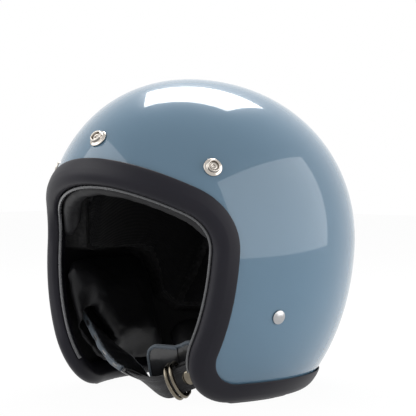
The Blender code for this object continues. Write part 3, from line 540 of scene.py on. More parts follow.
def shaded_ring_plate():
    """Thin plating on the rings and the press snap, rubbed by the strap, its colour darkened as painted
    shade for the shade the rings sit in.
    """
    plate = Finish("shaded_ring_plate", Metallic=1.0)
    rub = plate.noise(240.0, 3.0)
    # Both tones are darkened plating: painted shade.
    plate.drive(Base_Color=plate.tint(rub, (0.22, 0.195, 0.150), (0.12, 0.105, 0.085)),
                Roughness=plate.ramp(rub, 0.10, 0.26))
    return plate


def satin_steel():
    steel = Finish("satin_steel", Metallic=1.0)
    brushed = steel.noise(420.0, 4.0)
    steel.drive(Base_Color=steel.tint(brushed, (0.36, 0.36, 0.37), (0.50, 0.50, 0.50)),
                Roughness=steel.ramp(brushed, 0.26, 0.42), Normal=steel.bump(brushed, 0.08, 0.0002))
    return steel


def pad_leather():
    """Soft black leathercloth: pebbled grain, long soft creases and a satin sheen. Its near-black colour is
    partly the cloth's own black and partly painted shade for the shaded inside.
    """
    leather = Finish("pad_leather", Specular_IOR_Level=0.3)
    creases = leather.noise(38.0, 3.0)
    grain = leather.cells(900.0)
    rough = leather.bump(creases, 0.35, 0.002)
    # Near-black tones: the cloth's own black, darkened further as painted shade.
    leather.drive(Base_Color=leather.tint(creases, (0.007, 0.007, 0.008), (0.014, 0.014, 0.016)),
                  Roughness=leather.ramp(creases, 0.48, 0.60),
                  Normal=leather.bump(grain, 0.18, 0.0003, rough))
    return leather


def lining_cloth():
    """Dull black knit with a fine loop pattern and a little lint. Its very dark colour is partly the knit's
    own black and partly painted shade for the shaded inside.
    """
    knit = Finish("lining_cloth", Specular_IOR_Level=0.2, Sheen_Weight=0.06, Sheen_Roughness=0.5)
    place = knit.place()
    loops = knit.wave(knit.part(place, 0) + knit.part(place, 2) * 0.5, 0.0021)
    rows = knit.wave(knit.part(place, 1) + knit.part(place, 2) * 0.5, 0.0017)
    lint = knit.noise(700.0, 3.0)
    # Near-black tones: the knit's own black, darkened further as painted shade.
    knit.drive(Base_Color=knit.tint(lint, (0.003, 0.003, 0.004), (0.008, 0.008, 0.009)),
               Roughness=knit.ramp(lint, 0.8, 0.95),
               Normal=knit.bump(loops * rows + lint * 0.4, 0.5, 0.0006))
    return knit


def bead_foam():
    foam = Finish("bead_foam", Specular_IOR_Level=0.3)
    beads = foam.cells(330.0)
    foam.drive(Base_Color=foam.tint(beads, (0.030, 0.030, 0.031), (0.016, 0.016, 0.017)),
               Roughness=foam.ramp(beads, 0.65, 0.9), Normal=foam.bump(beads, 0.5, 0.0008))
    return foam


def piping_vinyl():
    piping = Finish("piping", Specular_IOR_Level=0.6, Coat_Weight=0.4, Coat_Roughness=0.15)
    wrinkle = piping.noise(260.0, 2.0)
    piping.drive(Base_Color=piping.tint(wrinkle, (0.040, 0.041, 0.045), (0.065, 0.067, 0.073)),
                 Roughness=piping.ramp(wrinkle, 0.22, 0.34), Normal=piping.bump(wrinkle, 0.2, 0.0005))
    return piping


def woven_web():
    """Black webbing: ribs along it, each crossed by the weft, with worn fibres between. Its colour follows
    the weave's height: darker in the grooves as painted shade and lighter on the tops as painted highlight.
    """
    web = Finish("webbing", Specular_IOR_Level=0.35, Sheen_Weight=0.2)
    place = web.cloth_place()
    ribs = web.wave(web.part(place, 0), 0.0016)
    weft = web.wave(web.part(place, 1) + ribs * 0.0006, 0.0011)
    fibres = web.noise(2600.0, 2.0, place)
    height = ribs * 0.6 + weft * 0.4 + fibres * 0.25
    # Colour from the weave's height: painted shade in the grooves, painted highlight on the tops.
    web.drive(Base_Color=web.tint(height, (0.006, 0.006, 0.007), (0.030, 0.030, 0.034)),
              Roughness=web.ramp(fibres, 0.55, 0.75), Normal=web.bump(height, 0.7, 0.0005))
    return web


def sleeve_vinyl():
    """Glossy black vinyl with a fine grain and puckers that run in from its sewn edges."""
    vinyl = Finish("sleeve_vinyl", Specular_IOR_Level=0.6, Coat_Weight=0.5, Coat_Roughness=0.16)
    creases = vinyl.noise(75.0, 3.0)
    grain = vinyl.cells(1300.0)
    soft = vinyl.bump(creases, 0.5, 0.0016)
    vinyl.drive(Base_Color=vinyl.tint(creases, (0.010, 0.010, 0.011), (0.020, 0.021, 0.024)),
                Roughness=vinyl.ramp(creases, 0.24, 0.36), Normal=vinyl.bump(grain, 0.12, 0.0002, soft))
    return vinyl


def binding_tape():
    """Blue-grey ribbed tape sewn over the edges."""
    tape = Finish("binding_tape", Specular_IOR_Level=0.4, Sheen_Weight=0.3)
    place = tape.cloth_place()
    ribs = tape.wave(tape.part(place, 1), 0.0009)
    wear = tape.noise(160.0, 3.0)
    tape.drive(Base_Color=tape.tint(wear, (0.050, 0.066, 0.085), (0.085, 0.106, 0.130)),
               Roughness=tape.ramp(wear, 0.5, 0.7), Normal=tape.bump(ribs + wear * 0.5, 0.4, 0.0003))
    return tape


def sewing_thread():
    thread = Finish("sewing_thread", Specular_IOR_Level=0.4)
    twist = thread.noise(2200.0, 2.0)
    thread.drive(Base_Color=thread.tint(twist, (0.050, 0.060, 0.075), (0.100, 0.115, 0.135)),
                 Roughness=thread.ramp(twist, 0.45, 0.65))
    return thread


# Shell and edge

def outer_shell(loop, paint, resin):
    """Cube cut into small faces, swollen to the dome and opened along the edge under the trim."""
    bpy.ops.mesh.primitive_cube_add(size=2)
    shell = bpy.context.active_object
    shell.name = "shell"
    edit(shell)
    bpy.ops.mesh.subdivide(number_cuts=SHELL_CUTS)
    leave_edit()
    corners = np.zeros(len(shell.data.vertices) * 3)
    shell.data.vertices.foreach_get("co", corners)
    arms = np.tan(corners.reshape(-1, 3) * math.pi / 4)
    arms *= HALF_WIDTH / np.linalg.norm(arms, axis=1, keepdims=True)
    for _ in range(6):
        arms *= (dome_level(DOME_CENTRE + arms) + 1)[:, None] ** (-1 / DOME_POWER)
    shell.data.vertices.foreach_set("co", (DOME_CENTRE + arms).reshape(-1))
    shell.data.update()
    middles = np.array([face.center for face in shell.data.polygons])
    outline = edge_outline()
    above = kept_side(middles[:, 1:], outline)
    nearest = np.full(len(middles), 1.0)
    for point in loop:
        nearest = np.minimum(nearest, np.linalg.norm(middles - point, axis=1))
    spare = ~above | (nearest < SHELL_UNDER_TRIM)
    edit(shell)
    bpy.ops.mesh.select_all(action="DESELECT")
    leave_edit()
    shell.data.polygons.foreach_set("select", spare)
    bpy.context.view_layer.objects.active = shell
    bpy.ops.object.mode_set(mode="EDIT")
    bpy.ops.mesh.select_mode(type="FACE")
    bpy.ops.mesh.delete(type="FACE")
    bpy.ops.mesh.select_mode(type="VERT")
    leave_edit()
    wall = shell.modifiers.new("wall", "SOLIDIFY")
    wall.thickness = SHELL_WALL
    wall.offset = -1
    wall.material_offset = 1
    wall.material_offset_rim = 1
    dress(shell, paint, "helmet", "shell_paint", "outer_shell")
    shell.data.materials.append(resin.material)
    apply_modifiers(shell)
    shade(shell, 40)
    return shell


def kept_side(places, outline):
    """True for side-view places above and behind the edge line."""
    far = 1.0
    corners = [(far, outline[-1, 1]), (far, far), (-far, far), (-far, outline[0, 1])]
    polygon = np.concatenate([outline, corners])
    inside = np.zeros(len(places), bool)
    for first, last in zip(polygon, np.roll(polygon, -1, axis=0)):
        crosses = (first[1] > places[:, 1]) != (last[1] > places[:, 1])
        with np.errstate(divide="ignore", invalid="ignore"):
            at = first[0] + (places[:, 1] - first[1]) * (last[0] - first[0]) / (last[1] - first[1])
        inside ^= crosses & (places[:, 0] < at)
    return inside


def trim_section(flange):
    """(reach, height) points round the trim: flange outside, soft ridge, rolled lip, inner leg and slot."""
    flange = flange / MM
    outside = rounded([(flange - 4, 0.75), (flange, 0.8), (flange - 0.3, 1.7), (flange * 0.72, 2.5),
                       (flange * 0.4, 2.75), (4.0, 2.7), (0.0, 1.9), (-3.6, -0.4), (-5.3, -4.0),
                       (-4.4, -8.2), (-1.0, -10.7), (6.0, -10.7), (11.6, -10.0), (12.0, -7.0)], 3)
    slot = np.array([(12.0, -4.75), (-0.7, -4.75), (-0.7, 0.72)])
    return np.concatenate([outside, slot]) * MM


def edge_trim(loop, over, rubber):
    """Rubber edge swept round the whole rim, flat where it stands on the floor."""
    rise = np.clip((loop[:, 2] - BOTTOM_Z) / JAW_CORNER[2], 0, 1)
    flange = BOTTOM_FLANGE + (FACE_FLANGE - BOTTOM_FLANGE) * rise * rise * (3 - 2 * rise)
    sections = np.stack([trim_section(width) for width in flange])
    rows = section_rows(loop, over, sections)
    rows[..., 2] = np.where(rows[..., 2] < FLOOR_FLAT, 0.0, rows[..., 2])
    trim = skin("rubber_edge", rows, ring=True, round_trip=True)
    return dress(trim, rubber, "helmet", "trim_rubber", "edge_trim")


# Fasteners

def left_place(y, z):
    """Place on the dome, on the wearer's left, from its place in side view."""
    return np.array([float(side_x(np.array([y]), np.array([z]))[0]), y, z])


def own_side(points, side):
    """Points made for the wearer's left (1), turned to the right (-1) where asked."""
    return np.asarray(points) * (side, 1, 1)


def rivet_place():
    return left_place(*RIVET_SIDE)


def stud_places():
    left = left_place(*STUD_SIDE)
    return {"centre": np.array([0.0, profile_y(STUD_CENTRE_Z, -1), STUD_CENTRE_Z]),
            "left": left, "right": own_side(left, -1)}


def brow_stud(side, place, plate):
    """Snap stud: flange with a rolled edge, waisted collar and a hollow middle with its eyelet."""
    normal = dome_normal(place)
    profile = rounded([(0.0, 0.3), (6.2, 0.3), (6.8, 0.35), (6.85, 0.75), (6.5, 1.15), (5.6, 1.35),
                       (4.75, 1.7), (4.45, 2.3), (4.75, 3.1), (4.8, 3.7), (4.5, 4.3), (4.0, 4.4),
                       (3.6, 4.25), (3.4, 3.6), (3.35, 2.3), (2.9, 2.15), (2.3, 2.2)], 2)
    eyelet = rounded([(2.3, 2.2), (2.75, 2.3), (2.8, 2.75), (2.4, 3.1), (1.5, 3.1), (1.15, 2.8), (1.1, 1.9),
                      (0.0, 1.7)], 2)
    stud = turned("brow_stud_" + side, np.concatenate([profile, eyelet]), place, normal)
    return dress(stud, plate, "helmet", "chrome", "visor_stud_" + side, "visor_stud_eyelet_" + side)


def strap_rivet(side, sign, steel):
    """Low domed rivet head with a rolled rim, its shank and its tail inside the shell."""
    place = own_side(rivet_place(), sign)
    head = rounded([(2.4, -0.2), (2.4, 0.35), (4.9, 0.35), (5.2, 0.5), (5.25, 0.95), (4.9, 1.25),
                    (4.3, 1.45), (3.2, 2.1), (1.6, 2.5), (0.0, 2.6)], 2)
    tail = rounded([(0.0, -11.6), (3.6, -11.5), (4.1, -11.1), (4.05, -10.5), (2.4, -10.4), (2.4, -9.0)], 2)
    rivet = turned("rivet_" + side, np.concatenate([tail, head]), place, dome_normal(place), 48)
    return dress(rivet, steel, "helmet", "steel", "strap_rivet_" + side)


# Lining and pads

def edge_stretch(loop, over, middle, span, count):
    """Places and over-surface directions along part of the edge, about the front (0) or the rear (0.5)."""
    marks = (middle + np.linspace(-span, span, count)) * len(loop)
    low = np.floor(marks).astype(int)
    part = (marks - low)[:, None]
    first = low % len(loop)
    last = (low + 1) % len(loop)
    base = on_dome(loop[first] * (1 - part) + loop[last] * part)
    way = over[first] * (1 - part) + over[last] * part
    return base, unit(way)


def circle(radius, sides):
    angles = np.linspace(0, 2 * math.pi, sides, endpoint=False)
    return np.stack([np.cos(angles), np.sin(angles)], 1) * radius


def liner_welt(loop, over, piping):
    """Thin piping that follows the trim's lip round the face opening."""
    base, way = edge_stretch(loop, over, 0.0, WELT_SPAN / 2, 241)
    section = circle(WELT_RADIUS, 14) + (WELT_OVER, -WELT_DEPTH)
    welt = skin("piping_cord", section_rows(base, way, section), ring=True, capped=True)
    return dress(welt, piping, "helmet", "piping", "liner_welt")


def cushion(name, node, finish, slot, voxel, most):
    """Padded copy of a CAD node: remeshed, blown up as cloth away from the shell and subdivided once."""
    pad = bpy.data.objects.new(name, nodes[node].data.copy())
    bpy.context.collection.objects.link(pad)
    edit(pad)
    bpy.ops.mesh.remove_doubles(threshold=1e-6)
    leave_edit()
    remesh = pad.modifiers.new("remesh", "REMESH")
    remesh.mode = "VOXEL"
    remesh.voxel_size = voxel
    apply_modifiers(pad)
    blow_up(pad, most)
    dress(pad, finish, "helmet", slot, node)
    soft = pad.modifiers.new("soft", "SUBSURF")
    soft.levels = 1
    soft.render_levels = 1
    shade(pad)
    return pad


def blow_up(pad, most):
    """Runs cloth pressure on a pad, then keeps at most so much of each point's way in from the shell."""
    rest = mesh_points(pad.data)
    cloth = pad.modifiers.new("cloth", "CLOTH")
    cloth.settings.use_pressure = True
    cloth.settings.uniform_pressure_force = CLOTH_PRESSURE
    cloth.settings.effector_weights.gravity = 0
    for frame_number in range(1, CLOTH_FRAMES + 1):
        bpy.context.scene.frame_set(frame_number)
    blown = pad.evaluated_get(bpy.context.evaluated_depsgraph_get())
    way = mesh_points(blown.data) - rest
    pad.modifiers.remove(cloth)
    bpy.context.scene.frame_set(1)
    normal = dome_normal(rest)
    way -= normal * np.maximum((way * normal).sum(1, keepdims=True), 0)
    length = np.linalg.norm(way, axis=1, keepdims=True)
    way *= np.minimum(1, most / np.maximum(length, 1e-9))
    pad.data.vertices.foreach_set("co", (rest + way).reshape(-1))
    pad.data.update()


def mesh_points(mesh):
    points = np.zeros(len(mesh.vertices) * 3)
    mesh.vertices.foreach_get("co", points)
    return points.reshape(-1, 3)


# Chin strap

def in_shell(run):
    """Places inside the shell from shares of its half width, for the wearer's left."""
    run = np.array(run) + (0, STAND_Y, 0)
    return np.stack([run[:, 0] * side_x(run[:, 1], run[:, 2]), run[:, 1], run[:, 2]], 1)


def smooth_path(points, count):
    """Curve through points by Catmull-Rom, at equal steps."""
    points = np.array(points, float)
    ends = np.concatenate([[2 * points[0] - points[1]], points, [2 * points[-1] - points[-2]]])
    fine = []
    for a, b, c, d in zip(ends, ends[1:], ends[2:], ends[3:]):
        for t in np.linspace(0, 1, 40, endpoint=False):
            fine.append(0.5 * (2 * b + (c - a) * t + (2 * a - 5 * b + 4 * c - d) * t * t
                               + (3 * b - a - 3 * c + d) * t ** 3))
    return spaced([*fine, points[-1]], count)


def strap_root():
    """Start of the left strap at its rivet, the shell's normal there and the strap's way down."""
    place = rivet_place()
    normal = dome_normal(place)
    root = place - normal * STRAP_DEPTH
    way = in_shell(STRAP_RUN_LEFT)[0] - root
    way -= normal * (way @ normal)
    return root, normal, unit(way)


def strap_path(run, marks, ways, count):
    """Centre line and wanted width directions of one strap, for the wearer's left."""
    root, normal, way = strap_root()
    line = smooth_path([root - way * TAB_LENGTH, root, root + way * TAB_LENGTH, *run], count)
    ways = unit(np.array([np.cross(normal, way), *ways]))
    return line, read_at(np.linspace(0, 1, count), [0.0, *marks], ways)


def left_strap(count):
    _, normal, way = strap_root()
    ways = (np.cross(normal, way), TWIST_LEFT, TWIST_LEFT)
    return strap_path(in_shell(STRAP_RUN_LEFT), LEFT_TWIST_MARKS, ways, count)


def ring_frame():
    """Bar centre of the first D-ring and the strap's along, width and face directions there."""
    line, widths = left_strap(CAD_STATIONS)
    along = unit(line[-1] - line[-2])
    width = unit(widths[-1] - along * (widths[-1] @ along))
    return line[-1], along, width, np.cross(along, width)


def right_strap(count):
    """The right strap runs on through both D-rings and ends in a free tail."""
    bar, along, width, face = ring_frame()
    cross = bar + face * RING_DEPTH * WEB_IN_RING
    run = [*in_shell(STRAP_RUN_RIGHT)]
    run += [own_side(cross + along * reach, -1) for reach in (RING_LEAD, -RING_PITCH, -TAIL_LENGTH)]
    _, normal, way = strap_root()
    bar_way = own_side(width, -1)
    ways = (np.cross(normal, way), TWIST_RIGHT, TWIST_RIGHT, bar_way, bar_way)
    return strap_path(run, RIGHT_TWIST_MARKS, ways, count)


def folded_strap():
    """The left strap with its fold round both D-ring bars and back along itself."""
    line, widths = left_strap(STRAP_STATIONS)
    bar, along, width, face = ring_frame()
    wrap = RING_WIRE + GAP + WEB_WALL / 2
    fold = [(-FOLD_FLAT, wrap), (RING_PITCH, wrap)]
    for angle in np.linspace(0, math.pi, 17)[1:-1]:
        fold.append((RING_PITCH + wrap * math.sin(angle), wrap * math.cos(angle)))
    under = WEB_WALL + GAP
    fold += [(RING_PITCH, -wrap), (-FOLD_FLAT, -wrap), (-FOLD_CLOSE, -under - FOLD_SPARE),
             (-FOLD_BACK, -under)]
    keep = np.linalg.norm(line - bar, axis=1) > FOLD_LEAD
    bend = np.array([bar + along * a + face * f for a, f in fold])
    line = np.concatenate([line[keep], bend])
    widths = np.concatenate([widths[keep], np.repeat(width[None], len(bend), axis=0)])
    along = run_along(line)
    even = np.linspace(0, along[-1], 2 * STRAP_STATIONS)
    return read_at(even, along, line), read_at(even, along, widths)


def ribbon_frames(line, widths):
    """Unit width and face directions along a line from wanted width directions."""
    along = unit(np.gradient(line, axis=0))
    across = unit(widths - along * (widths * along).sum(1, keepdims=True))
    return across, np.cross(along, across)


def soft_section(half, wall, sides, square, flat):
    """(width, face) outline of a strip: lower powers are squarer in width and flatter in face."""
    angles = np.linspace(0, 2 * math.pi, sides, endpoint=False)
    wide = np.sign(np.cos(angles)) * np.abs(np.cos(angles)) ** square
    high = np.sign(np.sin(angles)) * np.abs(np.sin(angles)) ** flat
    return np.stack([wide * half, high * wall], 1)


def ribbon_rows(line, across, face, sections):
    sections = np.broadcast_to(sections, (len(line), *np.shape(sections)[-2:]))
    return line[:, None] + across[:, None] * sections[..., :1] + face[:, None] * sections[..., 1:]


def webbing(side_name, side, line, widths, web):
    """Woven strap with rounded edges and a hole for its rivet."""
    across, face = ribbon_frames(line, widths)
    rows = ribbon_rows(line, across, face, soft_section(WEB_WIDTH / 2, WEB_WALL / 2, 32, 0.35, 0.6))
    strap = skin("webbing_" + side_name, own_side(rows, side), ring=True, capped=True)
    place = own_side(rivet_place(), side)
    normal = dome_normal(place)
    punch = turned("punch", [(0, 2), (WEB_HOLE / MM, 2), (WEB_HOLE / MM, -16), (0, -16)], place, normal, 32)
    hole = strap.modifiers.new("hole", "BOOLEAN")
    hole.operation = "DIFFERENCE"
    hole.solver = "EXACT"
    hole.object = punch
    apply_modifiers(strap)
    bpy.data.objects.remove(punch)
    shade(strap, 50)
    return dress(strap, web, "chin_strap", "webbing", "chin_webbing_" + side_name)


def sleeve(side_name, side, line, widths, stretch, vinyl, tape, thread):
    """Padded sleeve round the webbing with puckered, bound and stitched long edges."""
    across, face = ribbon_frames(line, widths)
    part = slice(round(stretch[0] * (len(line) - 1)), round(stretch[1] * (len(line) - 1)) + 1)
    line, across, face = line[part], across[part], face[part]
    place = np.linspace(0, 1, len(line))
    pucker = 1 + DEEP_PUCKER * np.sin(place * 47) + FINE_PUCKER * np.sin(place * 83 + 1)
    full = np.sqrt(np.clip(np.minimum(place, 1 - place) / SLEEVE_END, 0, 1))
    ends = full * (1 - SLEEVE_END_WALL) + SLEEVE_END_WALL
    outer = soft_section(SLEEVE_WIDTH / 2, 1.0, 40, 0.55, 0.85)
    sections = np.stack([outer * (1, SLEEVE_WALL / 2 * p * e) for p, e in zip(pucker, ends)])
    rows = ribbon_rows(line, across, face, sections)
    inner = ribbon_rows(line, across, face, soft_section(*SLEEVE_CHANNEL, 40, 0.35, 0.6))
    rows = own_side(np.concatenate([rows, inner[::-1]]), side)
    cover = skin("sleeve_" + side_name, rows, ring=True, round_trip=True)
    dress(cover, vinyl, "chin_strap", "sleeve_vinyl", "strap_sleeve_" + side_name)
    for name, edge in {"upper": -1, "lower": 1}.items():
        sway = BINDING_SWAY * np.sin(place * 31 + edge)
        middle = line + across * (edge * (SLEEVE_WIDTH / 2 - BINDING_WIDTH * BINDING_HOLD) + sway)[:, None]
        walls = SLEEVE_BINDING * pucker
        ovals = np.stack([soft_section(BINDING_WIDTH / 2, wall, 16, 0.7, 0.7) for wall in walls])
        band = skin(f"binding_{side_name}_{name}", own_side(ribbon_rows(middle, across, face, ovals), side),
                    ring=True, capped=True)
        dress(band, tape, "chin_strap", "sleeve_vinyl")
        for front, facing in {"front": 1, "back": -1}.items():
            seam = middle - across * (edge * SEAM_INSET) + face * (facing * walls)[:, None]
            stitches(f"stitches_{side_name}_{name}_{front}", own_side(seam, side), thread)
    return cover


def stitches(name, seam, thread, body="chin_strap", slot="sleeve_vinyl"):
    """Row of short rounded stitches along a seam, in one mesh."""
    marks = spaced(seam, 2 * int(run_along(seam)[-1] / STITCH_PITCH) + 1)
    bpy.ops.mesh.primitive_uv_sphere_add(segments=8, ring_count=5, radius=1)
    one = bpy.context.active_object
    shape = mesh_points(one.data)
    faces = [tuple(face.vertices) for face in one.data.polygons]
    bpy.data.objects.remove(one)
    points = []
    sides = []
    for first, middle, last in zip(marks[0::2], marks[1::2], marks[2::2]):
        along = Vector(last - first).normalized()
        out = along.orthogonal().normalized()
        turn = np.array([out, along.cross(out), along])
        sides += [tuple(len(points) * len(shape) + i for i in face) for face in faces]
        points.append(middle + shape * (THREAD_RADIUS, THREAD_RADIUS, STITCH_LENGTH / 2) @ turn)
    mesh = bpy.data.meshes.new(name)
    mesh.from_pydata(np.concatenate(points), [], sides)
    row = bpy.data.objects.new(name, mesh)
    bpy.context.collection.objects.link(row)
    shade(row)
    return dress(row, thread, body, slot)


def ring_flap(vinyl, tape, thread):
    """Padded flap behind the D-rings: rounded free end, bound edge and a stitched seam."""
    line, widths = left_strap(STRAP_STATIONS)
    _, along, width, _ = ring_frame()
    across, face = ribbon_frames(line, widths)
    start = round(FLAP_START * (len(line) - 1))
    back = line[start:] - face[start:] * FLAP_BACK - across[start:] * FLAP_RISE
    level = along * (1, 1, 0) / np.linalg.norm(along[:2])
    centre = spaced([*back, back[-1] + level * FLAP_BEYOND], FLAP_STATIONS)
    share = np.linspace(0, 1, FLAP_STATIONS)[:, None]
    across, face = ribbon_frames(centre, across[start] * (1 - share) + width * share)
    run = np.linspace(0, run_along(centre)[-1], FLAP_STATIONS)
    left = np.clip(np.minimum(run, run[-1] - run) / FLAP_CORNER, 0, 1)
    trim = FLAP_CORNER * (1 - np.sqrt(1 - (1 - left) ** 2))
    half = FLAP_WIDTH / 2 - trim
    wall = FLAP_WALL / 2 * (FLAP_END_WALL + (1 - FLAP_END_WALL) * np.sqrt(left))
    sections = np.stack([soft_section(h, w, 40, 0.5, 0.8) for h, w in zip(half, wall)])
    flap = skin("flap", ribbon_rows(centre, across, face, sections), ring=True, capped=True)
    dress(flap, vinyl, "chin_strap", "sleeve_vinyl", "ring_flap")
    reach = across * (half - BINDING_INSET)[:, None]
    edge = np.concatenate([centre - reach, (centre + reach)[::-1]])
    outs = np.concatenate([face, face[::-1]])
    edge, outs = tidy_loop(edge, outs, 200)
    ahead = np.roll(edge, -1, axis=0) - np.roll(edge, 1, axis=0)
    sides = unit(np.cross(ahead, outs))
    oval = soft_section(BINDING_WIDTH / 2, FLAP_BINDING, 16, 0.7, 0.7)
    band = skin("binding_flap", ribbon_rows(edge, sides, outs, oval), ring=True, round_trip=True)
    dress(band, tape, "chin_strap", "sleeve_vinyl")
    for name, facing in {"front": 1, "back": -1}.items():
        inset = edge + sides * inward(edge, sides) * SEAM_INSET + outs * facing * FLAP_SEAM
        stitches("stitches_flap_" + name, np.concatenate([inset, inset[:1]]), thread)
    return flap


def inward(loop, sides):
    """1 or -1, whichever turns the sides of a loop to its middle."""
    return 1 if ((loop.mean(axis=0) - loop) * sides).sum() > 0 else -1


def tidy_loop(points, outs, count):
    """A closed loop and its directions at equal steps."""
    points = np.concatenate([points, points[:1]])
    outs = np.concatenate([outs, outs[:1]])
    along = run_along(points)
    even = np.linspace(0, along[-1], count, endpoint=False)
    return read_at(even, along, points), unit(read_at(even, along, outs))


def d_ring(name, shift, plate):
    """D-shaped wire ring: a straight bar in the webbing's fold and a bow that takes the other strap."""
    bar, along, width, face = ring_frame()
    centre = bar + along * shift
    half = RING_INSIDE / 2 + RING_WIRE
    rise = half * BOW_FLATNESS
    bow = np.linspace(0, math.pi, 41)
    line = [(half * math.cos(a), RING_DEPTH - rise + rise * math.sin(a)) for a in bow]
    turn = np.linspace(0, math.pi / 2, 8)
    line += [(-half + RING_CORNER * (1 - math.cos(a)), RING_CORNER * (1 - math.sin(a))) for a in turn]
    line += [(half - RING_CORNER * (1 - math.sin(a)), RING_CORNER * (1 - math.cos(a))) for a in turn]
    line = np.array([centre + width * w + face * f for w, f in line])
    line, _ = tidy_loop(line, np.repeat(along[None], len(line), axis=0), 140)
    ahead = np.roll(line, -1, axis=0) - np.roll(line, 1, axis=0)
    out = unit(np.cross(ahead, along))
    rows = ribbon_rows(line, out, np.repeat(along[None], len(line), axis=0), circle(RING_WIRE, 20))
    ring = skin(name.replace("d_ring", "wire_ring"), rows, ring=True, round_trip=True)
    return dress(ring, plate, name, "chrome", name)


def tail_snap(plate):
    """Press snap near the end of the free tail: domed cap in front, rolled socket behind."""
    bar, along, _, face = ring_frame()
    spot = bar + face * RING_DEPTH * WEB_IN_RING - along * (TAIL_LENGTH - SNAP_FROM_END)
    cap = rounded([(0.0, -3.3), (1.8, -3.3), (1.8, 1.25), (5.0, 1.25), (5.5, 1.45), (5.4, 2.1), (4.4, 2.8),
                   (2.4, 3.15), (0.0, 3.2)], 2)
    dress(turned("snap_cap", cap, spot, face, 48), plate, "chin_strap", "chrome", "tail_snap_cap")
    socket = rounded([(2.3, -3.3), (3.6, -3.4), (4.9, -3.2), (5.3, -2.2), (5.5, -1.4), (5.1, -1.25),
                      (2.3, -1.25), (2.2, -2.2)], 2)
    socket = np.concatenate([socket, socket[:1]])
    dress(turned("snap_socket", socket, spot, face, 48), plate, "chin_strap", "chrome", "tail_snap_socket")


# Studio

def studio():
    """Camera, softboxes, white world and floor."""
    up = CAMERA_RIGHT.cross(CAMERA_AHEAD)
    camera_data = bpy.data.cameras.new("camera")
    camera_data.lens = CAMERA_LENS
    camera_data.sensor_width = 36.0
    camera_data.clip_end = 20.0
    camera = bpy.data.objects.new("camera", camera_data)
    bpy.context.collection.objects.link(camera)
    camera.matrix_world = camera_pose(CAMERA_RIGHT, up, -CAMERA_AHEAD, CAMERA_PLACE)
    bpy.context.scene.camera = camera

    softbox("top_softbox", (-0.32, 0.54, 1.26), (0.0, 0.0, 0.14), 0.90, 0.62, 23.0)
    softbox("front_softbox", (-0.9, -1.3, 1.0), (0.0, 0.0, 0.13), 2.0, 1.6, 22.0)
    softbox("side_panel", (1.75, 0.75, 0.62), (0.0, 0.0, 0.12), 2.6, 1.7, 30.0)

    world = bpy.data.worlds.new("white_room")
    world.use_nodes = True
    bpy.context.scene.world = world
    tree = world.node_tree
    background = tree.nodes["Background"]
    background.inputs["Color"].default_value = (1, 1, 1, 1)
    tree.links.new(where_seen(tree, ROOM_LIGHT, 1.0), background.inputs["Strength"])

    bpy.ops.mesh.primitive_plane_add(size=1)
    floor = bpy.context.active_object
    floor.name = "floor"
    edit(floor)
    bpy.ops.transform.resize(value=(FLOOR_SIDE, FLOOR_SIDE, 1.0))
    leave_edit()
    floor.data.materials.append(floor_paper())


def where_seen(tree, unseen, seen):
    """One level for what the camera, a mirror or glass shows and another for what only gives light."""
    path = tree.nodes.new("ShaderNodeLightPath")
    level = path.outputs["Is Camera Ray"]
    for name in ("Is Glossy Ray", "Is Transmission Ray"):
        more = tree.nodes.new("ShaderNodeMath")
        tree.links.new(level, more.inputs[0])
        tree.links.new(path.outputs[name], more.inputs[1])
        level = more.outputs[0]
    spread = tree.nodes.new("ShaderNodeMapRange")
    spread.inputs["To Min"].default_value = unseen
    spread.inputs["To Max"].default_value = seen
    tree.links.new(level, spread.inputs["Value"])
    return spread.outputs[0]


def camera_pose(right, up, back, place):
    pose = Matrix.Identity(4)
    for column, axis in enumerate((right, up, back, Vector(place))):
        for row in range(3):
            pose[row][column] = axis[row]
    return pose


def floor_paper():
    """White paper that looks white to the camera and still takes the helmet's shadow."""
    paper = Finish("floor_paper", Roughness=0.9)
    speck = paper.noise(60.0)
    paper.drive(Base_Color=paper.tint(speck, (0.88, 0.88, 0.88), (0.90, 0.90, 0.90)))
    tree = paper.tree
    glow = tree.nodes.new("ShaderNodeEmission")
    mix = tree.nodes.new("ShaderNodeMixShader")
    tree.links.new(where_seen(tree, 0.0, FLOOR_GLOW), mix.inputs[0])
    tree.links.new(paper.shader.outputs[0], mix.inputs[1])
    tree.links.new(glow.outputs[0], mix.inputs[2])
    tree.links.new(mix.outputs[0], tree.nodes["Material Output"].inputs["Surface"])
    return paper.material


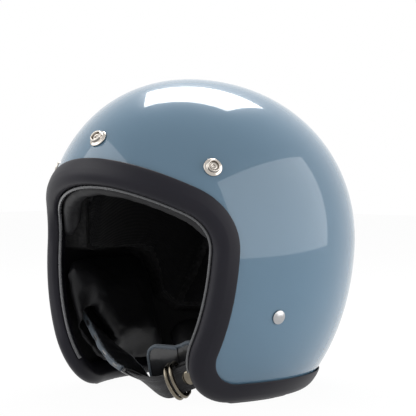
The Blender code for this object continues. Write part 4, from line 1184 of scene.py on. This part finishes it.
def softbox(name, place, target, width, height, power):
    lamp = bpy.data.lights.new(name, "AREA")
    lamp.shape = "RECTANGLE"
    lamp.size = width
    lamp.size_y = height
    lamp.energy = power
    light = bpy.data.objects.new(name, lamp)
    bpy.context.collection.objects.link(light)
    light.location = place
    light.rotation_euler = (Vector(target) - Vector(place)).to_track_quat("-Z", "Y").to_euler()
    return light


studio()
paint = shell_paint()
rubber = trim_rubber()
plate = bright_plate()
steel = satin_steel()
loop = edge_loop(EDGE_STATIONS)
over = away_from_opening(loop)
outer_shell(loop, paint, shell_inside())
edge_trim(loop, over, rubber)
for side, place in stud_places().items():
    brow_stud(side, place, plate)
for side, sign in {"left": 1, "right": -1}.items():
    strap_rivet(side, sign, steel)

liner_welt(loop, over, piping_vinyl())
leather = pad_leather()
for node in ("brow_pad", "neck_roll", "cheek_pad_left", "cheek_pad_right"):
    cushion("soft_" + node, node, leather, "pad_leather", PAD_VOXEL, PAD_SWELL)
knit = lining_cloth()
for part in ("crown_left", "crown_right", "front", "left", "rear", "right"):
    cushion("panel_" + part, "liner_" + part, knit, "lining_cloth", PANEL_VOXEL, PANEL_SWELL)
web = woven_web()
vinyl = sleeve_vinyl()
tape = binding_tape()
thread = sewing_thread()
webbing("left", 1, *folded_strap(), web)
webbing("right", -1, *right_strap(STRAP_STATIONS), web)
sleeve("left", 1, *left_strap(STRAP_STATIONS), LEFT_SLEEVE, vinyl, tape, thread)
sleeve("right", -1, *right_strap(STRAP_STATIONS), RIGHT_SLEEVE, vinyl, tape, thread)
ring_flap(vinyl, tape, thread)
rings = shaded_ring_plate()
d_ring("d_ring_inner", 0.0, rings)
d_ring("d_ring_outer", RING_PITCH, rings)
tail_snap(rings)
foam = bead_foam()
for node, finish in {"foam_liner": foam, "strap_plate_left": steel, "strap_plate_right": steel,
                     "visor_stud_washer_centre": steel, "visor_stud_washer_left": steel,
                     "visor_stud_washer_right": steel}.items():
    nodes[node].data.materials.clear()
    nodes[node].data.materials.append(finish.material)

bpy.context.scene.view_settings.view_transform = "Standard"
